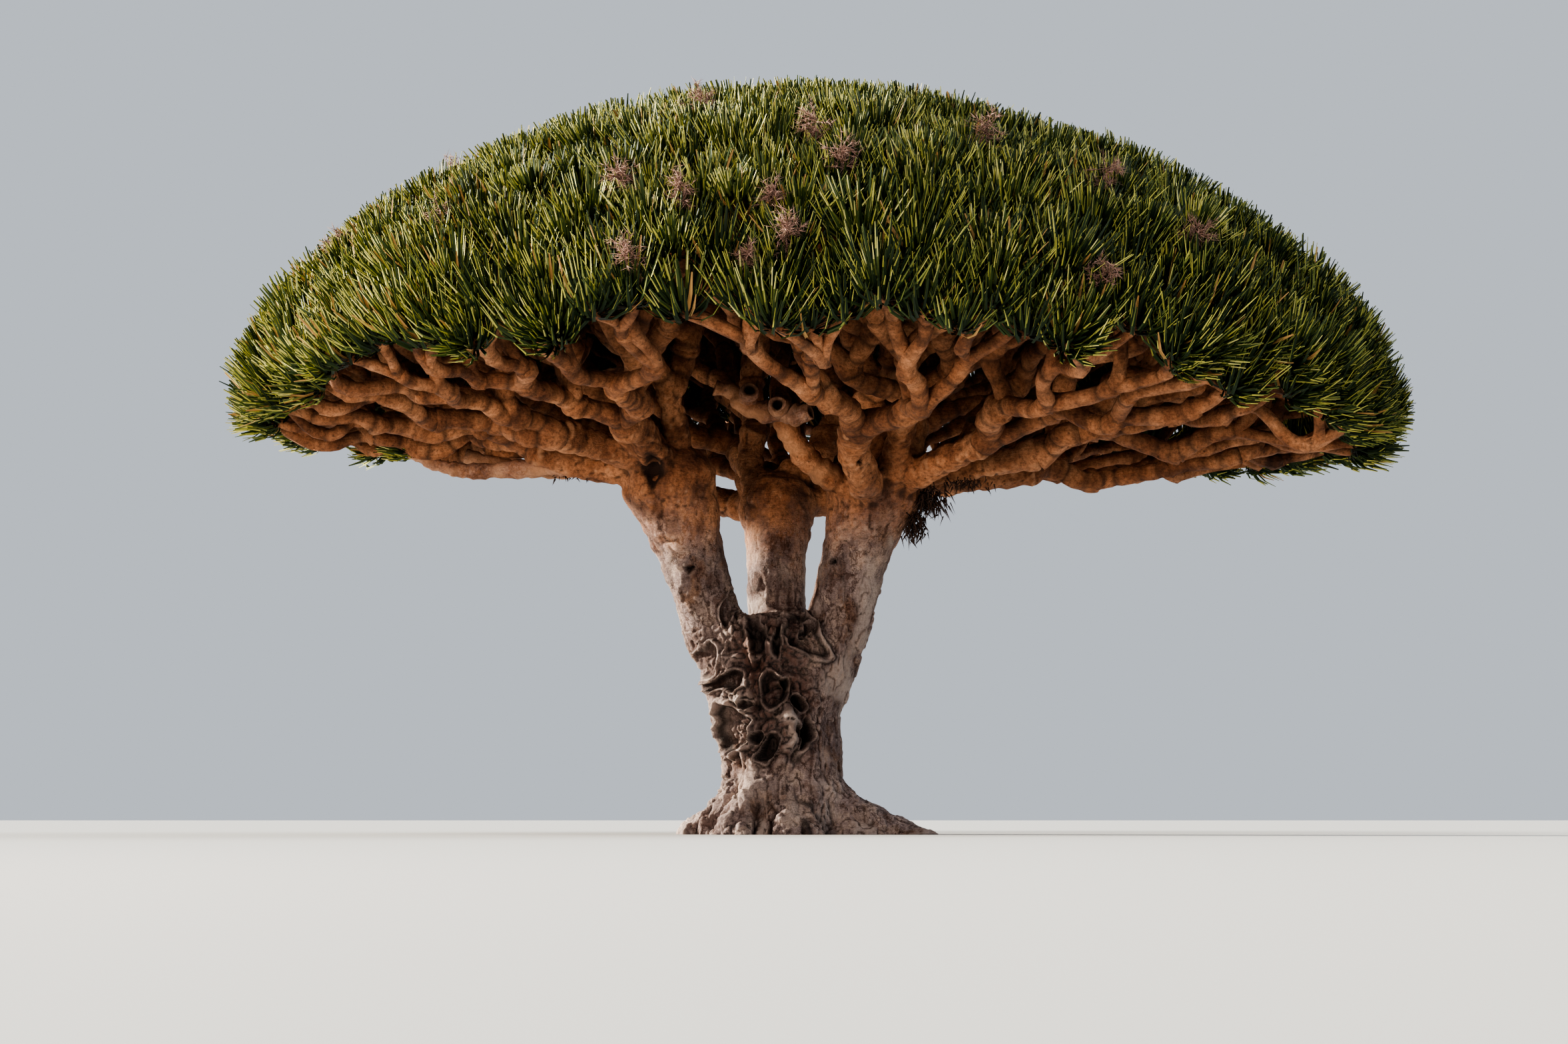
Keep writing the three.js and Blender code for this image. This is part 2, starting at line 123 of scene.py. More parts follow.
# One property of all a mesh's vertices or edges, a row for each.
def fetched(items, key, width, kind=np.float32):
    values = np.empty(len(items) * width, kind)
    items.foreach_get(key, values)
    return values.reshape(-1, width)


def meshPoints(mesh):
    return fetched(mesh.vertices, "co", 3).astype(float)


def meshNormals(mesh):
    return fetched(mesh.vertices, "normal", 3).astype(float)


def meshEdges(mesh):
    return fetched(mesh.edges, "vertices", 2, np.int32).T


def setPoints(mesh, points):
    mesh.vertices.foreach_set("co", points.astype(np.float32).ravel())
    mesh.update()


# Moves points towards the mean of their neighbours, by a weight for each, in several rounds.
def relaxed(mesh, weight, rounds):
    points = meshPoints(mesh)
    first, second = meshEdges(mesh)
    count = np.bincount(first, minlength=len(points)) + np.bincount(second, minlength=len(points))
    for _ in range(rounds):
        mean = np.stack([np.bincount(first, points[second, k], len(points))
                         + np.bincount(second, points[first, k], len(points)) for k in range(3)], axis=1)
        points += weight[:, None] * (mean / count[:, None] - points)
    return points


# How far each point lies below the same skin when smoothed, in metres: above 0 in a hollow, below 0 on
# a ridge.
def hollowness(mesh, rounds):
    smooth = relaxed(mesh, np.full(len(mesh.vertices), 0.6), rounds)
    below = ((smooth - meshPoints(mesh)) * meshNormals(mesh)).sum(axis=1)
    return below - np.median(below)


# Vectors turned round an axis by some angles, from two that are square to it and to each other.
def turned(turn, first, second):
    return np.cos(turn)[..., None] * first + np.sin(turn)[..., None] * second


def evenTurns(count):
    return 2 * np.pi * np.arange(count) / count


# Unit vectors square to the tangents, as near as can be to some others.
def squaredOff(vectors, tangent):
    return unit(vectors - (vectors * tangent).sum(-1, keepdims=True) * tangent)


# Rows of values as dictionaries with the same keys.
def asTable(keys, rows):
    return [dict(zip(keys.split(), row)) for row in rows]


# Upright for each vector that isn't near upright itself, and X for the others: never along the vector.
def acrossFrom(vectors, steep):
    return np.where(np.abs(vectors[:, 2:]) < steep, [[0.0, 0.0, 1.0]], [[1.0, 0.0, 0.0]])


# Ties a finished piece to the tree's one body, hides the nodes that it stands for and prints its count of
# triangles.
def settle(piece, nodes):
    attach(piece, "root")
    if nodes:
        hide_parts(*nodes)
    print(piece.name, "has", sum(len(face.vertices) - 2 for face in piece.data.polygons), "triangles")


# The crown and the rule by which its limbs fork

crown = {
    "height": 6.0,
    "rimHeight": 3.4,
    "reach": {"right": 4.95, "left": 4.43, "front": 4.5, "back": 4.25},
    "domePower": 1.7,
    "skirt": {"right": -6, "left": -3, "front": 0, "back": 3},  # degrees from the rim's level
    "bands": 90,
    "rosetteDepth": 0.4,
}

stems = [
    {
        "axis": [(0.37, -0.03, 1.42), (0.47, -0.06, 1.8), (0.59, -0.12, 2.3), (0.74, -0.18, 2.77)],
        "radii": [0.225, 0.262, 0.262, 0.26, 0.27, 0.3, 0.33],
        "sector": (-102, 24),
    },
    {
        "axis": [(-0.06, 0.37, 1.42), (-0.07, 0.42, 1.8), (-0.06, 0.5, 2.3), (-0.05, 0.64, 2.7)],
        "radii": [0.21, 0.24, 0.238, 0.238, 0.245, 0.265, 0.29],
        "sector": (24, 142),
    },
    {
        "axis": [(-0.51, -0.02, 1.42), (-0.62, -0.04, 1.8), (-0.76, -0.1, 2.3), (-0.93, -0.16, 2.85)],
        "radii": [0.215, 0.25, 0.25, 0.25, 0.262, 0.29, 0.32],
        "sector": (142, 258),
    },
]

growth = {
    "seed": 20,
    "forkAt": [0, 0, 0, 0.3, 0.44, 0.58, 0.72, 0.86, 1],
    "boughLevel": 3,
    "lastLevel": 8,
    "twigRadius": 0.047,
    "forkPower": 4.2,
    "controlOut": 0.62,
    "controlUp": 0.36,
    "sag": 0.04,
    "splitJitter": 0.16,
    "targetJitter": 0.2,
    "wander": 0.035,
}

focus = np.array([0, 0, crown["rimHeight"]])


# A repeatable random number from 0 to 1 for a cell's number and a key.
def chance(cellId, key):
    code = growth["seed"]
    for value in (cellId, key):
        code = ((code ^ value) * 0x85EBCA6B) & 0xFFFFFFFF
        code ^= code >> 13
        code = (code * 0xC2B2AE35) & 0xFFFFFFFF
        code ^= code >> 16
    return code / 4294967296


def spread(cellId, key):
    return 2 * chance(cellId, key) - 1


# The rim's radius: the mean of four reaches, with an oval part and a part for each axis.
def rimReach(azimuth):
    right, left, front, back = (crown["reach"][side] for side in ("right", "left", "front", "back"))
    mean = (right + left + front + back) / 4
    oval = (right + left - front - back) / 4
    return (mean + oval * np.cos(2 * azimuth)
            + (right - left) / 2 * np.cos(azimuth) + (back - front) / 2 * np.sin(azimuth))


# The outline is a superellipse in every upright plane, as a distance from the focus.
def outlineReach(azimuth, elevation, rim=None):
    power = crown["domePower"]
    out = (math.cos(elevation) / (rim or rimReach(azimuth))) ** power
    lift = max(0, math.sin(elevation)) / (crown["height"] - crown["rimHeight"])
    return (out + lift ** power) ** (-1 / power)


def skirtAngle(azimuth):
    side = crown["skirt"]["right" if math.cos(azimuth) > 0 else "left"]
    end = crown["skirt"]["back" if math.sin(azimuth) > 0 else "front"]
    return math.radians(end + (side - end) * math.cos(azimuth) ** 2)


# The share of the dome's surface above each of a row of even sweeps from its top to the rim.
def makeShareTable():
    bands = crown["bands"]
    sweeps = math.pi / 2 * (1 - np.arange(bands + 1) / bands)
    reach = np.array([outlineReach(0, sweep, rimReach(math.pi / 4)) for sweep in sweeps])
    across, up = reach * np.cos(sweeps), reach * np.sin(sweeps)
    area = (across[1:] + across[:-1]) / 2 * np.hypot(np.diff(across), np.diff(up))
    return np.concatenate([[0], np.cumsum(area)]) / area.sum()


shareTable = makeShareTable()


# A point of the crown from its azimuth, the share of the surface above it and its depth.
def crownPoint(azimuth, share, depth):
    sweep = float(np.interp(share, shareTable, np.linspace(0, 1, crown["bands"] + 1)))
    elevation = math.pi / 2 + (skirtAngle(azimuth) - math.pi / 2) * sweep
    reach = outlineReach(azimuth, elevation) - depth
    level = math.cos(elevation)
    way = np.array([level * math.cos(azimuth), level * math.sin(azimuth), math.sin(elevation)])
    return focus + reach * way


# The way from a stem's head to a cell's middle: a quadratic curve, outwards first and then up.
def leaderOf(cell):
    jitter = growth["targetJitter"] / 2
    (a0, a1), (s0, s1) = cell["azimuth"], cell["share"]
    azimuth = a0 + (a1 - a0) * (0.5 + jitter * spread(cell["id"], 1))
    share = s0 + (s1 - s0) * (0.5 + jitter * spread(cell["id"], 2))
    head = cell["head"]
    way = crownPoint(azimuth, share, crown["rosetteDepth"]) - head
    level = math.hypot(way[0], way[1])
    bend = np.array([growth["controlOut"] * way[0], growth["controlOut"] * way[1],
                     growth["controlUp"] * way[2] - growth["sag"] * level])
    return head, head + bend, head + way


# Each cell gets its fork's place and the direction in which its leader passes there.
def finishCell(cell):
    start, middle, end = leaderOf(cell)
    at = growth["forkAt"][cell["level"]]
    point = (1 - at) ** 2 * start + 2 * at * (1 - at) * middle + at ** 2 * end
    slope = (1 - at) * (middle - start) + at * (end - middle)
    if cell["level"] > 0:
        wander = growth["wander"] * np.linalg.norm(point - cell["head"])
        point = point + wander * np.array([spread(cell["id"], key) for key in (4, 5, 6)])
    cell["fork"] = point
    cell["way"] = slope / np.linalg.norm(slope)
    cell["leave"] = (middle - start) / np.linalg.norm(middle - start)
    return cell


# Halving a cell across its longer way gives the two cells that the next two limbs grow to.
def halvesOf(cell):
    (a0, a1), (s0, s1) = cell["azimuth"], cell["share"]
    middle = crownPoint((a0 + a1) / 2, (s0 + s1) / 2, 0)
    across = (a1 - a0) * math.hypot(middle[0], middle[1])
    down = np.linalg.norm(crownPoint((a0 + a1) / 2, s0, 0) - crownPoint((a0 + a1) / 2, s1, 0))
    cut = 0.5 + growth["splitJitter"] / 2 * spread(cell["id"], 3)
    if across > down:
        at = a0 + (a1 - a0) * cut
        parts = [((a0, at), (s0, s1)), ((at, a1), (s0, s1))]
    else:
        at = s0 + (s1 - s0) * cut
        parts = [((a0, a1), (s0, at)), ((a0, a1), (at, s1))]
    return [finishCell({**cell, "id": 2 * cell["id"] + side, "level": cell["level"] + 1,
                        "azimuth": azimuth, "share": share, "parent": cell})
            for side, (azimuth, share) in enumerate(parts)]


def growCells():
    levels = [[finishCell({"id": 4 + i, "level": 0, "stem": i, "share": (0, 1),
                           "azimuth": tuple(math.radians(a) for a in stem["sector"]),
                           "head": np.array(stem["axis"][-1])})
               for i, stem in enumerate(stems)]]
    for _ in range(growth["lastLevel"]):
        levels.append([half for cell in levels[-1] for half in halvesOf(cell)])
    return levels


# Where the rule leaves its rosettes far apart another grows between them, as far from all of them as
# a grid of points on the crown allows. Its twig comes from the nearest limb.
filling = {"count": 120, "azimuths": 240, "shares": 48, "lastShare": 0.96, "size": 0.76}


def fillGaps(levels):
    grid = np.array([crownPoint(azimuth, share, crown["rosetteDepth"])
                     for azimuth in np.linspace(-math.pi, math.pi, filling["azimuths"], endpoint=False)
                     for share in np.linspace(0, filling["lastShare"], filling["shares"])])
    places = np.array([cell["fork"] for cell in levels[-1]])
    limbEnds = np.array([cell["fork"] for cell in levels[-2]])
    # the square of the distance from each grid point to its nearest rosette
    squares = (grid ** 2).sum(1)[:, None] + (places ** 2).sum(1)[None] - 2 * grid @ places.T
    nearest = squares.min(axis=1)
    for _ in range(filling["count"]):
        place = grid[nearest.argmax()]
        nearest = np.minimum(nearest, ((grid - place) ** 2).sum(1))
        parent = levels[-2][((limbEnds - place) ** 2).sum(1).argmin()]
        levels[-1].append({"level": growth["lastLevel"], "stem": parent["stem"], "parent": parent,
                           "fork": place, "way": unit(place - parent["fork"]), "size": filling["size"]})
    return levels


cells = fillGaps(growCells())
print("grew", len(cells[-1]), "twigs")


# A limb's radius grows from the last twig's by the same factor at each level nearer the stem.
def limbRadius(level):
    return growth["twigRadius"] * 2 ** ((growth["lastLevel"] - level) / growth["forkPower"])


# The four control points of each limb of some cells, from its parent's fork to its own. A bough
# starts at its stem's head.
def limbControls(chosen):
    isBough = chosen[0]["level"] == growth["boughLevel"]
    start = np.array([cell["head"] if isBough else cell["parent"]["fork"] for cell in chosen])
    end = np.array([cell["fork"] for cell in chosen])
    leave = np.array([cell["leave"] if isBough else cell["parent"]["way"] for cell in chosen])
    arrive = np.array([cell["way"] for cell in chosen])
    third = np.linalg.norm(end - start, axis=1, keepdims=True) / 3
    return np.stack([start, start + leave * third, end - arrive * third, end], axis=1)


# The faces of many closed tubes, each a grid of rings with a pole at both ends.
def tubeFaces(count, rings, sides):
    ring = np.arange(rings - 1)[:, None] * sides
    side = np.arange(sides)
    turn = (side + 1) % sides
    quads = np.stack([ring + side, ring + turn, ring + sides + turn, ring + sides + side], axis=-1)
    first, last = rings * sides, rings * sides + 1
    low = np.stack([np.full(sides, first), turn, side], axis=-1)
    top = (rings - 1) * sides
    high = np.stack([np.full(sides, last), top + side, top + turn], axis=-1)
    offset = np.arange(count)[:, None, None] * (rings * sides + 2)
    return ((quads.reshape(-1, 4)[None] + offset).reshape(-1, 4),
            (np.concatenate([low, high])[None] + offset).reshape(-1, 3))


# Tubes round centre lines of shape (tubes, rings, 3): the centre plus the radius times a turning
# unit vector that is square to the line. Poles lie past both ends by the caps' share of the radius.
def tubesAlong(centre, radius, sides, caps=(0.5, 0.6), relief=None):
    tangent = unit(np.gradient(centre, axis=1))
    chord = unit(centre[:, -1] - centre[:, 0])
    square = unit(np.cross(chord, acrossFrom(chord, 0.8)))[:, None]
    normal = squaredOff(square, tangent)
    turn = evenTurns(sides)
    around = turned(turn, normal[:, :, None], np.cross(tangent, normal)[:, :, None])
    wide = radius[:, :, None] * (1 if relief is None else relief(turn))
    skin = centre[:, :, None] + wide[..., None] * around
    low = centre[:, 0] - tangent[:, 0] * radius[:, 0, None] * caps[0]
    high = centre[:, -1] + tangent[:, -1] * radius[:, -1, None] * caps[1]
    count, rings = centre.shape[:2]
    points = np.concatenate([skin.reshape(count, -1, 3), low[:, None], high[:, None]], axis=1)
    return (points.reshape(-1, 3), *tubeFaces(count, rings, sides))


# Several shapes' points, four-sided faces and three-sided faces as one.
def joined(parts):
    points, quads, triangles = [], [], []
    offset = 0
    for somePoints, someQuads, someTriangles in parts:
        points.append(somePoints)
        quads.append(np.asarray(someQuads).reshape(-1, 4) + offset)
        triangles.append(np.asarray(someTriangles).reshape(-1, 3) + offset)
        offset += len(somePoints)
    return np.concatenate(points), np.concatenate(quads), np.concatenate(triangles)


limbLook = {
    "wander": 0.5,       # sideways wander of a limb's axis, in radii
    "boughWander": 0.8,
    "swelling": 0.24,    # how much fatter a limb is at its forks
    "neckDepth": 0.17,   # the necks between its growth rings
    "neckGap": 0.15,     # metres between necks
    "lump": 0.06,
    "boughFoot": 0.45,   # how much fatter a bough is at the head that it leaves
    "footWidth": 1.04,   # a limb's ends as shares of its level's radius
    "tipWidth": 0.95,
    "forkReach": 0.14,   # how far along a limb its swelling at a fork reaches
    "sizes": (0.86, 1.12),
}


# Limbs of some cells as knobbly tubes: a cubic curve from fork to fork that wanders sideways, with a
# radius that swells at both forks, narrows in necks and is lumpy round its axis. The second result is
# how near each point is to a neck, where the twigs get painted shade.
def limbTubes(chosen, rings, sides, seed):
    rng = np.random.default_rng(seed)
    control = limbControls(chosen)
    count = len(chosen)
    t = np.linspace(0, 1, rings)[:, None]
    weights = np.stack([(1 - t) ** 3, 3 * t * (1 - t) ** 2, 3 * t ** 2 * (1 - t), t ** 3])
    centre = sum(weights[k][None] * control[:, k, None] for k in range(4))
    t = t[None, :, 0]
    level = chosen[0]["level"]
    isBough = level == growth["boughLevel"]
    base, tip = limbRadius(level) * limbLook["footWidth"], limbRadius(level) * limbLook["tipWidth"]
    sway = rng.uniform(-1, 1, (count, 2, 3))
    bend = (np.sin(np.pi * t)[..., None] * sway[:, :1]
            + 0.6 * np.sin(2 * np.pi * t)[..., None] * sway[:, 1:])
    centre = centre + limbLook["boughWander" if isBough else "wander"] * base * bend
    phase = rng.uniform(0, 2 * np.pi, (count, 5))[:, None]
    length = np.linalg.norm(control[:, 3] - control[:, 0], axis=1)[:, None]
    necksAlong = np.maximum(1.5, length / limbLook["neckGap"]) * rng.uniform(0.85, 1.15, (count, 1))
    beat = np.abs(np.sin(np.pi * t * necksAlong + phase[..., 0]))
    necks = beat ** 0.5
    reach = limbLook["forkReach"]
    swell = np.exp(-(t / reach) ** 2) * (not isBough) + np.exp(-((1 - t) / reach) ** 2)
    size = rng.uniform(*limbLook["sizes"], (count, 1))
    radius = (base + (tip - base) * t) * size * (
        1 + limbLook["swelling"] * swell + limbLook["neckDepth"] * (necks - 0.75))
    if isBough:
        radius = radius * (1 + limbLook["boughFoot"] * (1 - t) ** 2)

    def relief(turn):
        wave = (np.sin(2 * turn + phase[..., 1, None] + 5 * t[..., None])
                + 0.7 * np.sin(3 * turn + phase[..., 2, None] - 8 * t[..., None])
                + 0.5 * np.sin(5 * turn + phase[..., 3, None] + 13 * t[..., None]))
        return 1 + limbLook["lump"] * wave

    groove = np.exp(-(beat / 0.35) ** 2)
    mask = np.concatenate([np.repeat(groove, sides, axis=1), groove[:, [0, -1]]], axis=1)
    return tubesAlong(centre, radius, sides, relief=relief), mask.ravel()


# A smooth curve through a few points, each stretch a cubic with slopes from its neighbours.
def curveThrough(places, count):
    places = np.asarray(places, float)
    ends = np.concatenate([[2 * places[0] - places[1]], places, [2 * places[-1] - places[-2]]])
    at = np.linspace(0, len(places) - 1, count)
    i = np.minimum(at.astype(int), len(places) - 2)
    t = (at - i)[:, None]
    p0, p1, p2, p3 = ends[i], ends[i + 1], ends[i + 2], ends[i + 3]
    return 0.5 * (2 * p1 + (p2 - p0) * t + (2 * p0 - 5 * p1 + 4 * p2 - p3) * t ** 2
                  + (3 * p1 - p0 - 3 * p2 + p3) * t ** 3)


# A few radii that are evenly spaced along an axis, as one for each of its rings.
def alongRadii(radii, rings):
    return np.interp(np.linspace(0, 1, rings), np.linspace(0, 1, len(radii)), radii)


# Replaces a piece's mesh by one even skin round all its overlapping bodies, and smooths that.
def skinOver(piece, voxel, smoothings):
    remesh = piece.modifiers.new("skin", "REMESH")
    remesh.mode = "VOXEL"
    remesh.voxel_size = voxel
    remesh.use_smooth_shade = True
    smooth = piece.modifiers.new("smooth", "SMOOTH")
    smooth.factor = 0.5
    smooth.iterations = smoothings
    view = bpy.context.evaluated_depsgraph_get()
    view.update()
    mesh = bpy.data.meshes.new_from_object(piece.evaluated_get(view))
    piece.modifiers.clear()
    old = piece.data
    for material in old.materials:
        if material.name not in mesh.materials:
            mesh.materials.append(material)
    piece.data = mesh
    bpy.data.meshes.remove(old)
    mesh.name = piece.name


# Materials. A tree is a material's node tree, and the helpers give back an output to link on.

def newMaterial(name, roughness):
    material = bpy.data.materials.new(name)
    material.use_nodes = True
    shader = material.node_tree.nodes["Principled BSDF"]
    shader.inputs["Roughness"].default_value = roughness
    return material, material.node_tree, shader


# A node with its settings, and with inputs that are linked to an output or set to a value or colour.
def addNode(tree, kind, inputs, **settings):
    node = tree.nodes.new("ShaderNode" + kind)
    for name, value in settings.items():
        setattr(node, name, value)
    for key, value in inputs.items():
        socket = node.inputs[key]
        if isinstance(value, bpy.types.NodeSocket):
            tree.links.new(value, socket)
        else:
            socket.default_value = (*value, 1) if socket.type == "RGBA" else value
    return node


def noiseNode(tree, place, scale, detail, roughness, stretch=(1, 1, 1)):
    mapped = addNode(tree, "Mapping", {"Vector": place, "Scale": stretch}).outputs["Vector"]
    return addNode(tree, "TexNoise", {"Vector": mapped, "Scale": scale, "Detail": detail,
                                      "Roughness": roughness}).outputs["Fac"]


# Colours along a value: stops of a place from 0 to 1 and its colour.
def rampNode(tree, value, stops):
    node = addNode(tree, "ValToRGB", {"Fac": value})
    elements = node.color_ramp.elements
    elements[0].position = stops[0][0]
    elements[1].position = stops[-1][0]
    for place, _ in stops[1:-1]:
        elements.new(place)
    for element, (_, colour) in zip(elements, stops):
        element.color = (*colour, 1)
    return node.outputs["Color"]


def mixNode(tree, share, first, second, mode="MIX"):
    mix = addNode(tree, "Mix", {0: share, 6: first, 7: second}, data_type="RGBA", blend_type=mode)
    return mix.outputs[2]


def bumpNode(tree, shader, height, strength, distance):
    bump = addNode(tree, "Bump", {"Height": height, "Strength": strength, "Distance": distance})
    tree.links.new(bump.outputs["Normal"], shader.inputs["Normal"])


barkLook = {
    "cream": (0.44, 0.35, 0.315),
    "grey": (0.26, 0.195, 0.18),
    "tan": (0.27, 0.17, 0.125),
    "rust": (0.115, 0.045, 0.030),
    "worn": (0.56, 0.46, 0.41),
    "wornWarm": (0.56, 0.31, 0.18),
    # near-black painted shade for hollows, creases, grooves and holes, for the pale bark and for the warm
    # one
    "paintedShade": (0.010, 0.005, 0.004),
    "paintedShadeWarm": (0.030, 0.011, 0.005),
    "limbLight": (0.53, 0.27, 0.15),
    "limbMiddle": (0.36, 0.16, 0.078),
    "limbDark": (0.15, 0.058, 0.027),
    "warmFrom": 2.75,    # the warm bark begins and is complete at these heights, plus a ragged part
    "warmFull": 3.30,
    "ragged": 1.2,
    "poreScale": 9,
    "poreTones": [(0.05, (0.15, 0.12, 0.12)), (0.13, (1, 1, 1))],
    "poreShare": 0.7,
}

# Layers that darken or lighten a bark: a noise's scale, detail, roughness and stretch, the tones along
# its values, and how strongly they tell.
paleLayers = {
    "flakes": (4.5, 10, 0.68, (1, 1, 0.8), [(0.43, (0.50, 0.40, 0.38)), (0.44, (0.80, 0.77, 0.80)),
                                            (0.52, (0.80, 0.77, 0.80)), (0.53, (1.12, 1.1, 1.06))], 0.9),
    "cracks": (5.5, 7, 0.62, (1, 1, 0.55), [(0.482, (1, 1, 1)), (0.494, (0.24, 0.15, 0.12)),
                                            (0.502, (0.24, 0.15, 0.12)), (0.514, (1, 1, 1))], 0.8),
    "streaks": (17, 9, 0.75, (1, 1, 0.45), [(0.36, (0.20, 0.14, 0.13)), (0.46, (1, 1, 1))], 0.85),
    "grain": (70, 6, 0.75, (1, 1, 1.6), [(0.40, (0.55, 0.50, 0.48)), (0.56, (1.12, 1.1, 1.06))], 0.75),
}
warmLayers = {
    "stretches": (1.6, 3, 0.6, (1, 1, 1), [(0.36, (0.58, 0.50, 0.46)), (0.62, (1.25, 1.25, 1.25))], 0.85),
    "grain": (38, 6, 0.72, (1, 1, 1), [(0.36, (0.42, 0.38, 0.36)), (0.56, (1.1, 1.08, 1.05))], 0.8),
}


# A noise picks colours by their names, and layers of tones are multiplied over them in turn.
def layeredBark(tree, place, patches, stops, layers):
    colour = rampNode(tree, patches, [(at, barkLook[name]) for at, name in stops])
    for scale, detail, roughness, stretch, tones, amount in layers.values():
        noise = noiseNode(tree, place, scale, detail, roughness, stretch)
        colour = mixNode(tree, amount, colour, rampNode(tree, noise, tones), "MULTIPLY")
    return colour


# Pale peeling plates with crisp edges over tan and rust, with thin dark cracks and a fine grain.
def paleBark(tree, place, patches):
    stops = [(0.31, "rust"), (0.39, "tan"), (0.45, "grey"), (0.57, "cream")]
    return layeredBark(tree, place, patches, stops, paleLayers)


# Warm brown with paler worn patches, lighter and darker stretches, a dark grain and scattered pores.
def warmBark(tree, place, patches):
    stops = [(0.36, "limbDark"), (0.48, "limbMiddle"), (0.62, "limbLight")]
    colour = layeredBark(tree, place, patches, stops, warmLayers)
    pores = addNode(tree, "TexVoronoi", {"Vector": place, "Scale": barkLook["poreScale"]})
    tones = rampNode(tree, pores.outputs["Distance"], barkLook["poreTones"])
    return mixNode(tree, barkLook["poreShare"], colour, tones, "MULTIPLY")


# The share of warm bark rises with height over the stems' upper part, with a ragged edge.
def warmShare(tree, place, patches):
    height = addNode(tree, "SeparateXYZ", {"Vector": place}).outputs["Z"]
    ragged = addNode(tree, "Math", {0: patches, 1: barkLook["ragged"], 2: height}, operation="MULTIPLY_ADD")
    share = addNode(tree, "MapRange", {"Value": ragged.outputs[0], "From Min": barkLook["warmFrom"],
                                       "From Max": barkLook["warmFull"]})
    return share.outputs["Result"]


# The mesh's own mask: red for painted shade in hollows, green for stained wood or kept bark, blue for paler
# bark on ridges and worn patches.
def maskParts(tree):
    mask = addNode(tree, "Attribute", {}, attribute_name="barkMask")
    return addNode(tree, "SeparateColor", {"Color": mask.outputs["Color"]}).outputs


# Bark of the trunk, stems and limbs, pale below and warm above. The mask makes ridges and worn patches
# paler, reddens stained wood and darkens hollows with painted shade.
def makeBark(name, ridgeScale, ridgeHeight):
    material, tree, shader = newMaterial(name, 0.86)
    place = addNode(tree, "TexCoord", {}).outputs["Object"]
    patches = noiseNode(tree, place, 3.2, 8, 0.66, (1, 1, 0.7))
    share = warmShare(tree, place, patches)
    colour = mixNode(tree, share, paleBark(tree, place, patches), warmBark(tree, place, patches))
    worn = mixNode(tree, share, barkLook["worn"], barkLook["wornWarm"])
    # painted shade for the hollows: near black, and warmer where the bark is warm
    hollow = mixNode(tree, share, barkLook["paintedShade"], barkLook["paintedShadeWarm"])
    mask = maskParts(tree)
    colour = mixNode(tree, mask["Blue"], colour, worn)
    colour = mixNode(tree, mask["Green"], colour, barkLook["rust"])
    colour = mixNode(tree, mask["Red"], colour, hollow)
    tree.links.new(colour, shader.inputs["Base Color"])
    ridges = noiseNode(tree, place, ridgeScale, 9, 0.74, (1, 1, 0.7))
    wrinkles = noiseNode(tree, place, 11, 5, 0.7, (1, 1, 5))
    bumpNode(tree, shader, mixNode(tree, 0.45, ridges, wrinkles), 1.0, ridgeHeight)
    return material


# Dead wood: the pale bark, with the warm one where the mask says that bark is left.
def makeDeadBark():
    material, tree, shader = newMaterial("dead_bark", 0.9)
    place = addNode(tree, "TexCoord", {}).outputs["Object"]
    patches = noiseNode(tree, place, 6, 8, 0.68)
    mask = maskParts(tree)
    pale, warm = paleBark(tree, place, patches), warmBark(tree, place, patches)
    colour = mixNode(tree, mask["Green"], pale, warm)
    colour = mixNode(tree, mask["Blue"], colour, barkLook["wornWarm"])
    # painted shade inside the hollow ends of the limbs
    colour = mixNode(tree, mask["Red"], colour, barkLook["paintedShadeWarm"])
    tree.links.new(colour, shader.inputs["Base Color"])
    bumpNode(tree, shader, noiseNode(tree, place, 30, 8, 0.74), 0.9, 0.022)
    return material


def plainMaterial(name, colour, roughness, specular=0.5):
    material, _, shader = newMaterial(name, roughness)
    shader.inputs["Base Color"].default_value = (*colour, 1)
    shader.inputs["Specular IOR Level"].default_value = specular
    return material


trunkBark = makeBark("trunk_bark", 30, 0.042)
limbBark = makeBark("limb_bark", 32, 0.030)
deadBark = makeDeadBark()
print("made the bark")


# Keeps the mask on the mesh: shares from 0 to 1 of painted shade in hollows, of stained or kept bark, and
# of paler bark.
def setMask(mesh, paintedShade, warm, pale):
    mask = mesh.color_attributes.new("barkMask", "FLOAT_COLOR", "POINT")
    values = np.stack([paintedShade, warm, pale, np.ones_like(paintedShade)], axis=-1)
    mask.data.foreach_set("color", np.clip(values, 0, 1).astype(np.float32).ravel())


# The trunk and stems

trunk = {
    "height": 1.7,
    "saddle": 0.06,
    "shoulder": 1.54,
    "bodyRadius": 0.5,
    "topRadius": 0.43,
    "shift": (-0.05, 0.04),
    "roots": [  # azimuth in degrees, length, rise, angular width
        (-8, 0.74, 0.43, 26), (40, 0.36, 0.38, 20), (92, 0.43, 0.4, 22), (140, 0.33, 0.36, 20),
        (188, 0.32, 0.4, 22), (232, 0.3, 0.34, 18), (283, 0.26, 0.4, 17)],
    "lobes": [  # azimuth, length, angular width, the height where it starts
        (186, 0.335, 42, 0.65), (-6, 0.31, 42, 0.9), (92, 0.3, 38, 0.8)],
    "voxel": 0.0195,
    "underGround": 0.08,
    "fineWidth": 0.95,   # the front that gets finer faces: half its width, its top and its back edge
    "fineHeight": 1.95,
    "fineBack": 0.02,
    "smoothed": (1.35, 1.55, 1.85, 2.05),   # the fork is smoothed most between the middle two heights
}

# Heights of the relief in metres.
carving = {
    "broad": 0.022,      # broad lumps and smaller ones
    "small": 0.009,
    "plates": 0.017,
    "grain": 0.005,
    "wrinkles": 0.004,   # across the stems
    "folds": 0.105,      # creased folds of the gnarled middle, in three sizes
    "smallFolds": 0.065,
    "tinyFolds": 0.022,
    "roots": 0.120,      # and of the foot, in two
    "rootFolds": 0.022,
    "flutes": 0.034,
    "stray": 0.045,      # how far the marks' edges stray, in two sizes
    "fineStray": 0.022,
}
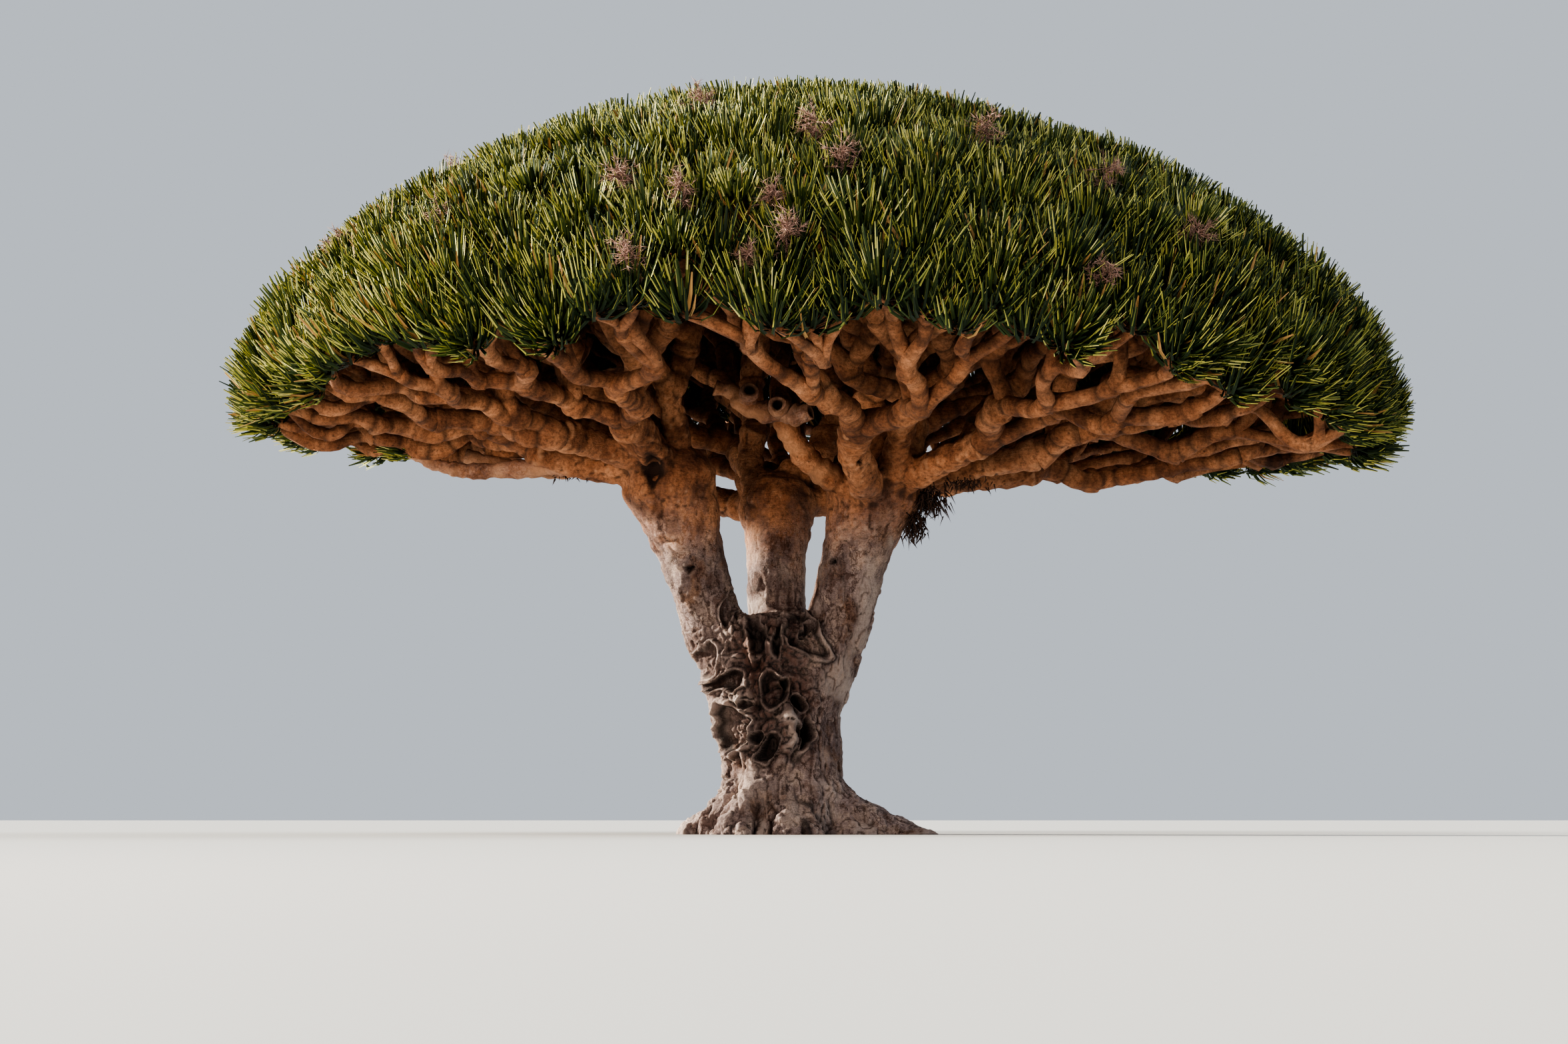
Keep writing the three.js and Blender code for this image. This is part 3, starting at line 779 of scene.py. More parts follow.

# What marks the front of the trunk and stems, where it is seen from the front. A hollow has a raised
# lip round a hole. Each has its middle (x, z), half its width and height, its turn in degrees, the
# lip's height, the hole's depth, how much painted shade darkens its floor and how rusty it is.
trunkMarks = asTable("at half turn lip depth dark warm", [
    ((-0.390, 0.84), (0.115, 0.205), 8, 0.070, 0.065, 0.10, 0.45),
    ((-0.455, 1.172), (0.165, 0.070), -5, 0.055, 0.085, 0.12, 0.15),
    ((-0.630, 1.360), (0.125, 0.115), 6, 0.024, 0.060, 0.35, 0.7),
    ((-0.418, 1.776), (0.072, 0.190), -14, 0.030, 0.022, 0.05, 0.2),
    ((0.177, 1.571), (0.115, 0.185), 35, 0.045, 0.045, 0.10, 0.3),
    ((0.175, 1.625), (0.045, 0.060), 30, 0.030, 0.040, 0.60, 0.2),
    ((-0.241, 1.545), (0.080, 0.145), 12, 0.020, 0.075, 0.80, 0.2),
    ((-0.045, 1.540), (0.050, 0.150), -6, 0.020, 0.065, 0.75, 0.2),
    ((-0.100, 1.115), (0.085, 0.130), 14, 0.050, 0.050, 0.25, 0.5),
    ((-0.037, 1.165), (0.034, 0.046), 0, 0.012, 0.080, 1.00, 0.0),
    ((0.100, 1.035), (0.075, 0.052), -20, 0.030, 0.100, 1.00, 0.0),
    ((0.186, 0.820), (0.050, 0.130), -8, 0.022, 0.110, 1.00, 0.0),
    ((-0.120, 0.670), (0.058, 0.100), -8, 0.060, 0.085, 0.75, 0.2),
    ((-0.210, 0.780), (0.040, 0.050), 0, 0.020, 0.060, 0.90, 0.0),
    ((-0.280, 1.020), (0.050, 0.045), 0, 0.018, 0.050, 0.70, 0.2),
    ((-0.464, 0.430), (0.032, 0.055), 0, 0.024, 0.060, 0.90, 0.0),
    ((-0.480, 0.590), (0.026, 0.040), 0, 0.016, 0.040, 0.80, 0.1),
    ((-0.750, 2.130), (0.038, 0.042), 0, 0.006, 0.060, 1.00, 0.0),
    ((0.420, 2.165), (0.026, 0.032), 0, 0.004, 0.050, 1.00, 0.0),
    ((0.295, 2.185), (0.018, 0.044), 0, 0.004, 0.040, 1.00, 0.0),
])

# Knobs that stand out of the front: middle, half size, height and how pale.
trunkKnobs = asTable("at half tall pale", [
    ((0.038, 0.895), (0.085, 0.065), 0.100, 0.9),
    ((0.020, 0.740), (0.055, 0.110), 0.060, 0.7),
    ((-0.427, 1.350), (0.075, 0.085), 0.055, 0.5),
    ((-0.120, 1.490), (0.048, 0.090), 0.060, 0.3),
    ((-0.340, 1.060), (0.120, 0.030), 0.040, 0.8),
    ((-0.204, 0.900), (0.060, 0.060), 0.050, 0.2),
    ((-0.200, 0.290), (0.150, 0.140), 0.090, 0.3),
    ((-0.620, 0.180), (0.150, 0.130), 0.050, 0.1),
    ((0.330, 0.330), (0.090, 0.070), 0.040, 0.6),
    ((0.640, 1.400), (0.070, 0.060), 0.060, 0.1),
])


# The trunk's skin in a turned grid: a radius that narrows upwards, plus a bell curve round its azimuth
# for each root, which fades with height, and each lobe under a stem, which grows with height. Above the
# shoulder the radius follows a quarter of an oval to the saddle.
def trunkSurface(rows=90, sides=140):
    top = trunk["height"]
    crest = top + trunk["saddle"]
    heights = np.linspace(-trunk["underGround"], crest - 0.002, rows)
    over = np.maximum(0, heights - trunk["shoulder"]) / (crest - trunk["shoulder"])
    shrink = np.sqrt(1 - over ** 2)[:, None]
    angle = np.linspace(-180, 180, sides, endpoint=False)[None]
    high = np.clip(heights, 0, top)[:, None]

    def bell(azimuth, width):
        turn = (angle - azimuth + 180) % 360 - 180
        return np.exp(-(turn / width) ** 2)

    radius = trunk["bodyRadius"] + (trunk["topRadius"] - trunk["bodyRadius"]) * high / top
    for azimuth, length, rise, width in trunk["roots"]:
        radius = radius + length * np.maximum(0, 1 - high / rise) ** 1.5 * bell(azimuth, width)
    for azimuth, length, width, start in trunk["lobes"]:
        radius = radius + length * np.maximum(0, (high - start) / (top - start)) * bell(azimuth, width)
    turn = np.radians(angle)
    lean = high / top
    skin = np.stack([radius * shrink * np.cos(turn) + trunk["shift"][0] * lean,
                     radius * shrink * np.sin(turn) + trunk["shift"][1] * lean,
                     np.broadcast_to(heights[:, None], radius.shape)], axis=-1)
    poles = [[0, 0, -trunk["underGround"]], [*trunk["shift"], top + trunk["saddle"]]]
    points = np.concatenate([skin.reshape(-1, 3), poles])
    return (points, *tubeFaces(1, len(heights), sides))


def stemTube(stem, rings=60, sides=48):
    centre = curveThrough(stem["axis"], rings)[None]
    radius = alongRadii(stem["radii"], rings)[None]
    return tubesAlong(centre, radius, sides, caps=(0.35, 0.35))


# Halves the edges of the faces at the front of the trunk, where the marks need finer relief.
def refineFront(mesh):
    points = meshPoints(mesh)
    near = ((np.abs(points[:, 0]) < trunk["fineWidth"]) & (points[:, 2] < trunk["fineHeight"])
            & (points[:, 1] < trunk["fineBack"]))
    first, second = meshEdges(mesh)
    shape = bmesh.new()
    shape.from_mesh(mesh)
    shape.edges.ensure_lookup_table()
    edges = [shape.edges[i] for i in np.flatnonzero(near[first] & near[second])]
    bmesh.ops.subdivide_edges(shape, edges=edges, cuts=1, use_grid_fill=True)
    shape.to_mesh(mesh)
    shape.free()


# How near each point is to the middle of a mark, 1 at its edge, and how much it faces the front. The
# edge wobbles round the mark in two waves.
def markDistance(points, normals, warp, mark):
    turn = math.radians(mark.get("turn", 0))
    dx = points[:, 0] + warp[0] - mark["at"][0]
    dz = points[:, 2] + warp[1] - mark["at"][1]
    across = (dx * math.cos(turn) + dz * math.sin(turn)) / mark["half"][0]
    along = (dz * math.cos(turn) - dx * math.sin(turn)) / mark["half"][1]
    facing = smoothStep(0.0, 0.45, -normals[:, 1]) * (points[:, 1] < mark.get("until", 0.25))
    around = np.arctan2(along, across)
    phase = 40 * (mark["at"][0] + mark["at"][1])
    wobble = 1 + 0.10 * np.sin(2 * around + phase) + 0.08 * np.sin(3 * around + 2 * phase)
    return np.hypot(across, along) * wobble, facing


# Rounded lumps with sharp creases between them: the size of smooth noise, without its sign.
def lumps(points, size, seed):
    return np.abs(smoothNoise(points, size, seed))


# A hollow: a hole with ripples down its side and painted shade on its floor, a raised lip with a lower one
# outside it, and painted shade in grooves on both sides of the lip. The lip is broken up by a noise and is
# pale and clean, with less rust and painted shade.
def carveHollow(mark, reach, facing, broken, move, paintedShade, warm, pale):
    hole = (1 - smoothStep(0.72, 0.98, reach)) * facing
    lip = np.exp(-((reach - 1.10) / 0.13) ** 2) * facing * (1 + 0.5 * broken)
    outer = np.exp(-((reach - 1.40) / 0.09) ** 2) * facing * (0.5 + 0.5 * broken)
    ripple = 0.16 * mark["depth"] * np.sin(16 * reach + 3 * broken) * hole
    move = move + (mark["lip"] * (lip + 0.4 * outer) - mark["depth"] * hole + ripple)
    paintedShade = np.maximum(paintedShade * (1 - 0.8 * lip), mark["dark"] * hole)
    warm = np.maximum(warm * (1 - 0.5 * lip), mark["warm"] * hole)
    strength = min(1, mark["lip"] / 0.035)
    groove = np.exp(-((reach - 0.90) / 0.09) ** 2) + 0.9 * np.exp(-((reach - 1.26) / 0.05) ** 2)
    paintedShade = np.maximum(paintedShade, 0.9 * groove * facing * strength)
    return move, paintedShade, warm, np.maximum(pale, 0.35 * lip * strength)


# A knob: a rounded bulge, cleaner and paler than the bark round it, with less painted shade.
def carveKnob(knob, reach, facing, move, paintedShade, warm, pale):
    bulge = np.exp(-reach ** 2) * facing
    return (move + knob["tall"] * bulge, paintedShade * (1 - 0.8 * bulge), warm * (1 - knob["pale"] * bulge),
            np.maximum(pale, knob["pale"] * bulge))


# The trunk's relief moves each point along its normal: broad lumps, bark plates with sharp edges, creased
# folds in the middle and at the foot, flutes near the ground, lips and hollows of the marks, and knobs.
# The same values fill the mask: red for painted shade in creases, grooves and holes, green for rusty wood,
# blue for pale bark.
def carveTrunk(mesh):
    points, normals = meshPoints(mesh), meshNormals(mesh)
    x, y, z = points.T
    front = smoothStep(-0.1, 0.5, -normals[:, 1])
    low = 1 - smoothStep(1.7, 2.3, z)
    middle = np.exp(-((x + 0.12) / 0.36) ** 4)
    gnarled = middle * smoothStep(0.45, 0.65, z) * (1 - smoothStep(1.62, 1.78, z)) * front
    foot = (1 - smoothStep(0.15, 0.50, z)) * (1 - smoothStep(0.25, 0.5, x))
    warp = [carving["stray"] * smoothNoise(points, 0.19, seed)
            + carving["fineStray"] * smoothNoise(points, 0.075, seed + 2) for seed in (41, 42)]
    plates = smoothNoise(points, (0.085, 0.085, 0.17), 3)
    plates = smoothStep(-0.10, 0.12, plates + 0.5 * smoothNoise(points, (0.035, 0.035, 0.06), 4))
    move = carving["broad"] * low * smoothNoise(points, (0.3, 0.3, 0.42), 1)
    move += carving["small"] * smoothNoise(points, 0.13, 2)
    move += carving["plates"] * (plates - 0.5) * (0.4 + 0.6 * low)
    move += carving["grain"] * smoothNoise(points, 0.028, 5) * (0.4 + 0.6 * low)
    move += carving["wrinkles"] * smoothNoise(points, (0.30, 0.30, 0.035), 8) * smoothStep(1.6, 2.0, z)
    folds = lumps(points + np.stack([warp[0], warp[1], warp[0]], axis=1) * 1.4, (0.13, 0.13, 0.20), 31)
    smallFolds = lumps(points + np.stack([warp[1], warp[0], warp[1]], axis=1), 0.065, 32)
    tinyFolds = lumps(points, 0.034, 34)
    roots = lumps(points + np.stack([warp[0], warp[1], warp[1]], axis=1), (0.15, 0.15, 0.42), 35)
    rough = np.maximum(gnarled, 0.5 * foot)
    move += gnarled * (carving["folds"] * (folds - 0.25) + carving["smallFolds"] * (smallFolds - 0.25)
                       + carving["tinyFolds"] * (tinyFolds - 0.25))
    move += foot * (carving["roots"] * (roots - 0.25) + carving["rootFolds"] * (smallFolds - 0.25))
    flutes = np.abs(np.sin(4.5 * np.arctan2(y, x) + 1.2 * smoothNoise(points, 0.4, 6)))
    move += carving["flutes"] * (flutes - 0.6) * (1 - smoothStep(0.1, 0.75, z))
    # painted shade in the creases of the folds and between the roots
    creases = np.maximum(1 - smoothStep(0.0, 0.10, folds), 0.8 - 0.8 * smoothStep(0.0, 0.14, smallFolds))
    paintedShade = np.maximum(0.85 * gnarled * creases, 0.8 * foot * (1 - smoothStep(0.0, 0.12, roots)))
    rusty = gnarled * smoothStep(-0.5, 0.2, smoothNoise(points, 0.16, 33) + 1.1 * (z - 1.25))
    warm = np.maximum(0.85 * rusty, 0.45 * gnarled)
    pale = 0.6 * smoothStep(0.30, 0.65, smoothNoise(points, (0.22, 0.22, 0.3), 9)) * (1 - gnarled)
    broken = smoothNoise(points, 0.09, 45)
    skin = move, paintedShade, warm, pale
    for mark in trunkMarks:
        skin = carveHollow(mark, *markDistance(points, normals, warp, mark), broken, *skin)
    for knob in trunkKnobs:
        skin = carveKnob(knob, *markDistance(points, normals, warp, knob), *skin)
    move, paintedShade, warm, pale = skin
    setPoints(mesh, points + normals * move[:, None])
    # painted shade and rust in the finished relief's hollows, paler bark on its ridges
    fine, broad = hollowness(mesh, 4), hollowness(mesh, 30)
    shade = np.maximum(smoothStep(0.0004, 0.0035, fine), smoothStep(0.004, 0.026, broad))
    ridge = smoothStep(0.0006, 0.0035, -fine) * smoothStep(-0.004, 0.008, -broad)
    paintedShade = np.maximum(paintedShade, (0.35 + 0.5 * rough) * shade * (0.35 + 0.65 * low))
    pale = np.maximum(pale, (0.35 + 0.15 * gnarled) * ridge * low)
    warm = np.maximum(warm, 0.5 * shade * low)
    setMask(mesh, paintedShade, warm * (1 - paintedShade), pale * (1 - paintedShade))


# Cuts a mesh flat at the ground and closes the cut.
def cutAtGround(mesh):
    shape = bmesh.new()
    shape.from_mesh(mesh)
    everything = shape.verts[:] + shape.edges[:] + shape.faces[:]
    cut = bmesh.ops.bisect_plane(shape, geom=everything, plane_co=(0, 0, 0), plane_no=(0, 0, -1),
                                 clear_outer=True)
    edges = [item for item in cut["geom_cut"] if isinstance(item, bmesh.types.BMEdge)]
    bmesh.ops.edgeloop_fill(shape, edges=edges)
    bmesh.ops.triangulate(shape, faces=[face for face in shape.faces if len(face.verts) > 4])
    shape.to_mesh(mesh)
    shape.free()


def makeTrunk():
    shape = joined([trunkSurface()] + [stemTube(stem) for stem in stems])
    piece = meshPiece("trunk_and_stems", *shape, [trunkBark])
    skinOver(piece, trunk["voxel"], 4)
    height = meshPoints(piece.data)[:, 2]
    low, full, fading, end = trunk["smoothed"]
    joint = smoothStep(low, full, height) * (1 - smoothStep(fading, end, height))
    setPoints(piece.data, relaxed(piece.data, 0.6 * joint, 25))
    refineFront(piece.data)
    setPoints(piece.data, relaxed(piece.data, np.full(len(piece.data.vertices), 0.5), 2))
    carveTrunk(piece.data)
    cutAtGround(piece.data)
    settle(piece, ["trunk"] + ["stem_" + name for name in stemNames])


makeTrunk()


# The boughs, from the stems' heads to where they enter the foliage

boughs = {
    "rings": 60,
    "sides": 28,
    "seed": 33,
    "voxel": 0.0195,
    "relief": 0.020,
    "headSides": 36,
    "headFrom": 0.58,      # share of the stem's axis where the head's own bark begins
    "headPast": 0.20,      # metres past its end
    "headShare": [0, 0.22, 0.5, 0.78, 0.92, 1],
    "headRadius": [0.235, 0.284, 0.325, 0.385, 0.35, 0.20],
    "headSizes": [1.0, 0.84, 1.0],   # of the right, rear and left head
}


# Hollows in the heads, like the trunk's marks, whose dark value is how much painted shade darkens the hole.
# The last value is how far back they reach.
headMarks = asTable("at half turn lip depth dark until", [
    ((-1.03, 2.83), (0.120, 0.145), 20, 0.010, 0.075, 1.0, -0.1),
    ((0.58, 2.86), (0.030, 0.045), 0, 0.008, 0.060, 1.0, -0.1),
])


# Relief of limbs: broad waves, scars with sharp creases between them, and a fine grain.
def carveLimbs(mesh, amount):
    points, normals = meshPoints(mesh), meshNormals(mesh)
    scars = lumps(points, 0.09, 12) ** 0.7
    broad, fine = smoothNoise(points, 0.16, 11), smoothNoise(points, 0.04, 13)
    move = amount * (0.9 * broad + 0.7 * (scars - 0.5) + 0.3 * fine)
    setPoints(mesh, points + normals * move[:, None])


# A head is a swollen tube round the end of a stem, from which the boughs leave.
def headTube(stem, size):
    rings = boughs["rings"]
    centre = curveThrough(stem["axis"], rings)[int(rings * boughs["headFrom"]):]
    end = unit(centre[-1] - centre[-2])
    quarters = np.arange(1, 5)[:, None] / 4
    centre = np.concatenate([centre, centre[-1] + end * boughs["headPast"] * quarters])
    share = np.linspace(0, 1, len(centre))
    radius = size * np.interp(share, boughs["headShare"], boughs["headRadius"])
    return tubesAlong(centre[None], radius[None], boughs["headSides"])


# Three heads with their boughs under one skin. Its mask darkens hollows and holes with painted shade and
# makes ridges paler.
def makeBoughs():
    shape, _ = limbTubes(cells[growth["boughLevel"]], boughs["rings"], boughs["sides"], boughs["seed"])
    heads = [headTube(stem, size) for stem, size in zip(stems, boughs["headSizes"])]
    piece = meshPiece("boughs", *joined([shape] + heads), [limbBark])
    skinOver(piece, boughs["voxel"], 3)
    carveLimbs(piece.data, boughs["relief"])
    # painted shade in the skin's fine and broad hollows
    fine, broad = hollowness(piece.data, 3), hollowness(piece.data, 12)
    hollow = 0.75 * np.maximum(smoothStep(0.0008, 0.005, fine), smoothStep(0.003, 0.016, broad))
    points, normals = meshPoints(piece.data), meshNormals(piece.data)
    for mark in headMarks:
        warp = [0.04 * smoothNoise(points, 0.12, seed) for seed in (46, 47)]
        reach, facing = markDistance(points, normals, warp, mark)
        hole = (1 - smoothStep(0.25, 1.0, reach)) * facing
        lip = np.exp(-((reach - 1.12) / 0.15) ** 2) * facing
        points += normals * (mark["lip"] * lip - mark["depth"] * hole)[:, None]
        hollow = np.maximum(hollow, mark["dark"] * (1 - smoothStep(0.75, 0.95, reach)) * facing)
    setPoints(piece.data, points)
    setMask(piece.data, hollow, np.zeros_like(hollow), 0.6 * smoothStep(0.0010, 0.0045, -fine))
    nodes = [name for name in frame["nodes"] if name.startswith("bough_")]
    settle(piece, nodes)


makeBoughs()


# Limbs with no leaves

deadLimbs = [
    {"axis": [(0.56, -0.3, 2.7), (0.19, -0.47, 2.93), (-0.04, -0.62, 3.27)],
     "radii": [0.118, 0.104, 0.096, 0.086], "hollow": False, "bark": 1},
    {"axis": [(-0.03, -0.69, 3.29), (-0.15, -0.70, 3.28), (-0.30, -0.69, 3.33), (-0.40, -0.69, 3.43),
              (-0.53, -0.71, 3.47)],
     "radii": [0.078, 0.088, 0.086, 0.066, 0.056], "hollow": True, "bark": 0.75},
    {"axis": [(-0.17, -0.69, 3.29), (0.02, -0.71, 3.27), (0.10, -0.75, 3.25), (0.20, -0.80, 3.27)],
     "radii": [0.078, 0.084, 0.078, 0.066], "hollow": True, "bark": 0.5},
    {"axis": [(-0.28, -0.69, 3.33), (-0.28, -0.77, 3.40), (-0.265, -0.88, 3.43)],
     "radii": [0.074, 0.068, 0.064], "hollow": True, "bark": 0.6},
    {"axis": [(-0.04, -0.71, 3.28), (-0.045, -0.82, 3.31), (-0.05, -0.88, 3.32)],
     "radii": [0.070, 0.066, 0.064], "hollow": True, "bark": 0.6},
    {"axis": [(0.90, -0.95, 3.52), (0.94, -1.12, 3.52), (0.955, -1.2, 3.51)],
     "radii": [0.082, 0.078, 0.074], "hollow": True, "bark": 0.9},
    {"axis": [(-1.68, -0.19, 2.93), (-2.37, 0.04, 2.90), (-2.75, 0.07, 2.94), (-3.06, 0.11, 3.09)],
     "radii": [0.076, 0.062, 0.056, 0.046], "hollow": False, "bark": 0.6},
    {"axis": [(-1.6, 0.29, 2.94), (-2.18, 0.4, 2.96), (-2.59, 0.42, 3.06)],
     "radii": [0.074, 0.064, 0.056], "hollow": False, "bark": 0.6},
]

deadLook = {"rings": 44, "sides": 22, "seed": 50, "knob": 0.17, "wall": 0.66, "hollowDepth": 1.1,
            "relief": 0.009}


# A dead limb: a tube along a curve whose radius knobs in and out. A hollow one turns back into
# itself at its end, as a lip and an inner wall, and its mask paints shade on that wall.
def deadTube(limb, seed):
    rng = np.random.default_rng(seed)
    rings = deadLook["rings"]
    centre = curveThrough(limb["axis"], rings)
    length = np.linalg.norm(np.diff(centre, axis=0), axis=1).sum()
    share = np.linspace(0, 1, rings)
    knobs = np.sin(share * length * 42 + rng.uniform(0, 6))
    knobs = knobs * np.sin(share * length * 17 + rng.uniform(0, 6))
    radius = alongRadii(limb["radii"], rings) * (1 + deadLook["knob"] * knobs)
    paintedShade = np.zeros(rings)
    if limb["hollow"]:
        end = unit(centre[-1] - centre[-2])
        tip = radius[-1]
        wall = deadLook["wall"]
        inner = np.array([[0.10, 1.06], [0.16, 0.95], [0.12, wall], [-0.4, wall * 0.9],
                          [-deadLook["hollowDepth"], wall * 0.75]])
        centre = np.concatenate([centre, centre[-1] + end * inner[:, :1] * tip])
        radius = np.concatenate([radius, inner[:, 1] * tip])
        paintedShade = np.concatenate([paintedShade, [0, 0, 0.5, 1, 1]])
    sides = deadLook["sides"]
    tangent = unit(np.gradient(curveThrough(limb["axis"], rings), axis=0))
    tangent = np.concatenate([tangent, np.repeat(tangent[-1:], len(centre) - rings, axis=0)])
    square = unit(np.cross(tangent[0], [0.1, 0.2, 1.0]))
    normal = unit(square - (tangent @ square)[:, None] * tangent)
    turn = evenTurns(sides)
    oval = 1 + 0.05 * np.sin(2 * turn + rng.uniform(0, 6)) + 0.04 * np.sin(3 * turn + rng.uniform(0, 6))
    around = turned(turn, normal[:, None], np.cross(tangent, normal)[:, None])
    skin = centre[:, None] + (radius[:, None] * oval)[..., None] * around
    points = np.concatenate([skin.reshape(-1, 3), [centre[0]], [centre[-1]]])
    mask = np.concatenate([np.repeat(paintedShade, sides), [0, paintedShade[-1]]])
    return (points, *tubeFaces(1, len(centre), sides)), mask, np.full(len(mask), float(limb["bark"]))


def makeDeadLimbs():
    tubes = [deadTube(limb, deadLook["seed"] + i) for i, limb in enumerate(deadLimbs)]
    piece = meshPiece("dead_limbs", *joined([tube for tube, _, _ in tubes]), [deadBark])
    paintedShade = np.concatenate([mask for _, mask, _ in tubes])
    bark = np.concatenate([mask for _, _, mask in tubes])
    carveLimbs(piece.data, deadLook["relief"])
    worn = 0.45 * smoothStep(-0.3, 0.4, smoothNoise(meshPoints(piece.data), 0.12, 14))
    setMask(piece.data, paintedShade, bark, worn)
    settle(piece, ["cut_limb", "dead_limb_1", "dead_limb_2"])


makeDeadLimbs()


# The twigs inside the foliage, from the fourth fork to the rosettes

twigs = {
    "levels": {4: (24, 14), 5: (18, 11), 6: (13, 9), 7: (9, 7), 8: (7, 6)},   # rings and sides
    "seed": 60,
    "relief": 0.007,
}


def ofStem(chosen, stem):
    return [cell for cell in chosen if cell["stem"] == stem]


def makeTwigs():
    for i, name in enumerate(stemNames):
        parts = [limbTubes(ofStem(cells[level], i), rings, sides, twigs["seed"] + 10 * i + level)
                 for level, (rings, sides) in twigs["levels"].items()]
        piece = meshPiece("twigs_" + name, *joined([shape for shape, _ in parts]), [limbBark])
        groove = np.concatenate([mask for _, mask in parts])
        carveLimbs(piece.data, twigs["relief"])
        # painted shade in the necks between growth rings
        setMask(piece.data, 0.7 * groove, np.zeros_like(groove), np.zeros_like(groove))
        settle(piece, [node for node in frame["nodes"] if node.startswith("foliage_" + name)])


makeTwigs()


# The leaves, in rosettes at the ends of the twigs

leafLook = {
    "perRosette": 80,
    "length": (0.36, 0.46),
    "outerShorter": 0.08,  # how much shorter the outermost leaves are
    "width": (0.021, 0.029),
    "leanInner": 3,     # degrees from the rosette's axis
    "leanOuter": 99,
    "leanPower": 0.82,
    "rise": 0.80,       # how far the tip of an outer leaf bends up, as a share of its length
    "inwards": 0.30,    # and inwards
    "fold": 0.45,       # how far the lit margin stands off the blade, as a share of its width
    "headRadius": 0.032,
    "headLength": 0.10,
    "out": 0.50,        # the rosette's axis: outwards from the crown, upwards, and along its twig
    "up": 1.0,
    "along": 0.2,
    "overshoot": (-0.15, 0.055),  # how far a rosette's tips may stand out of the crown's outline
    "waves": 0.055,     # and its change from place to place
    "turn": 2.39996,    # radians from each leaf to the next: the golden angle
    "sections": (0, 0.3, 0.65, 1.0),      # the blade's four cross-sections, and their widths
    "profile": (0.9, 1, 0.9, 0.35),
    "axisJitter": 0.10,
    "dry": 0.02,        # the share of dry leaves, and the larger one left of an x
    "dryLeft": (-2.2, 0.06),
}

# How much painted light a leaf gets, as a number that is then rounded and kept from 1 to 2.
toneLook = {
    "middle": 1.35,     # over the trunk, at this height
    "height": 4.4,
    "higher": 0.22,     # more for each metre up, and less for each to the right
    "right": 0.10,
    "patches": 0.5,
    "rosettes": 0.42,   # how much rosettes differ, and the leaves of one
    "leaves": 0.34,
    "inner": 0.55,      # the innermost and the outermost leaf of a rosette
    "outer": -0.65,
}

# lit and shaded copies of one leaf green, from painted shade to painted highlight, and the straw of dry
# leaves
leafColours = {
    "leaf_shade": (0.005, 0.010, 0.005),
    "leaf_deep": (0.015, 0.031, 0.012),
    "leaf_olive": (0.046, 0.074, 0.023),
    "leaf_bright": (0.190, 0.220, 0.060),
    "leaf_yellow": (0.480, 0.465, 0.125),
    "leaf_pale": (0.660, 0.620, 0.250),
    "leaf_straw": (0.380, 0.230, 0.095),
}


# How far points lie outside the crown's outline, along the line from the focus.
def outsideOutline(points):
    way = points - focus
    level = np.hypot(way[..., 0], way[..., 1])
    rim = rimReach(np.arctan2(way[..., 1], way[..., 0]))
    power = crown["domePower"]
    lift = np.maximum(way[..., 2], 0) / (crown["height"] - crown["rimHeight"])
    scale = ((level / rim) ** power + lift ** power) ** (1 / power)
    return np.linalg.norm(way, axis=-1) * (1 - 1 / np.maximum(scale, 1e-6))


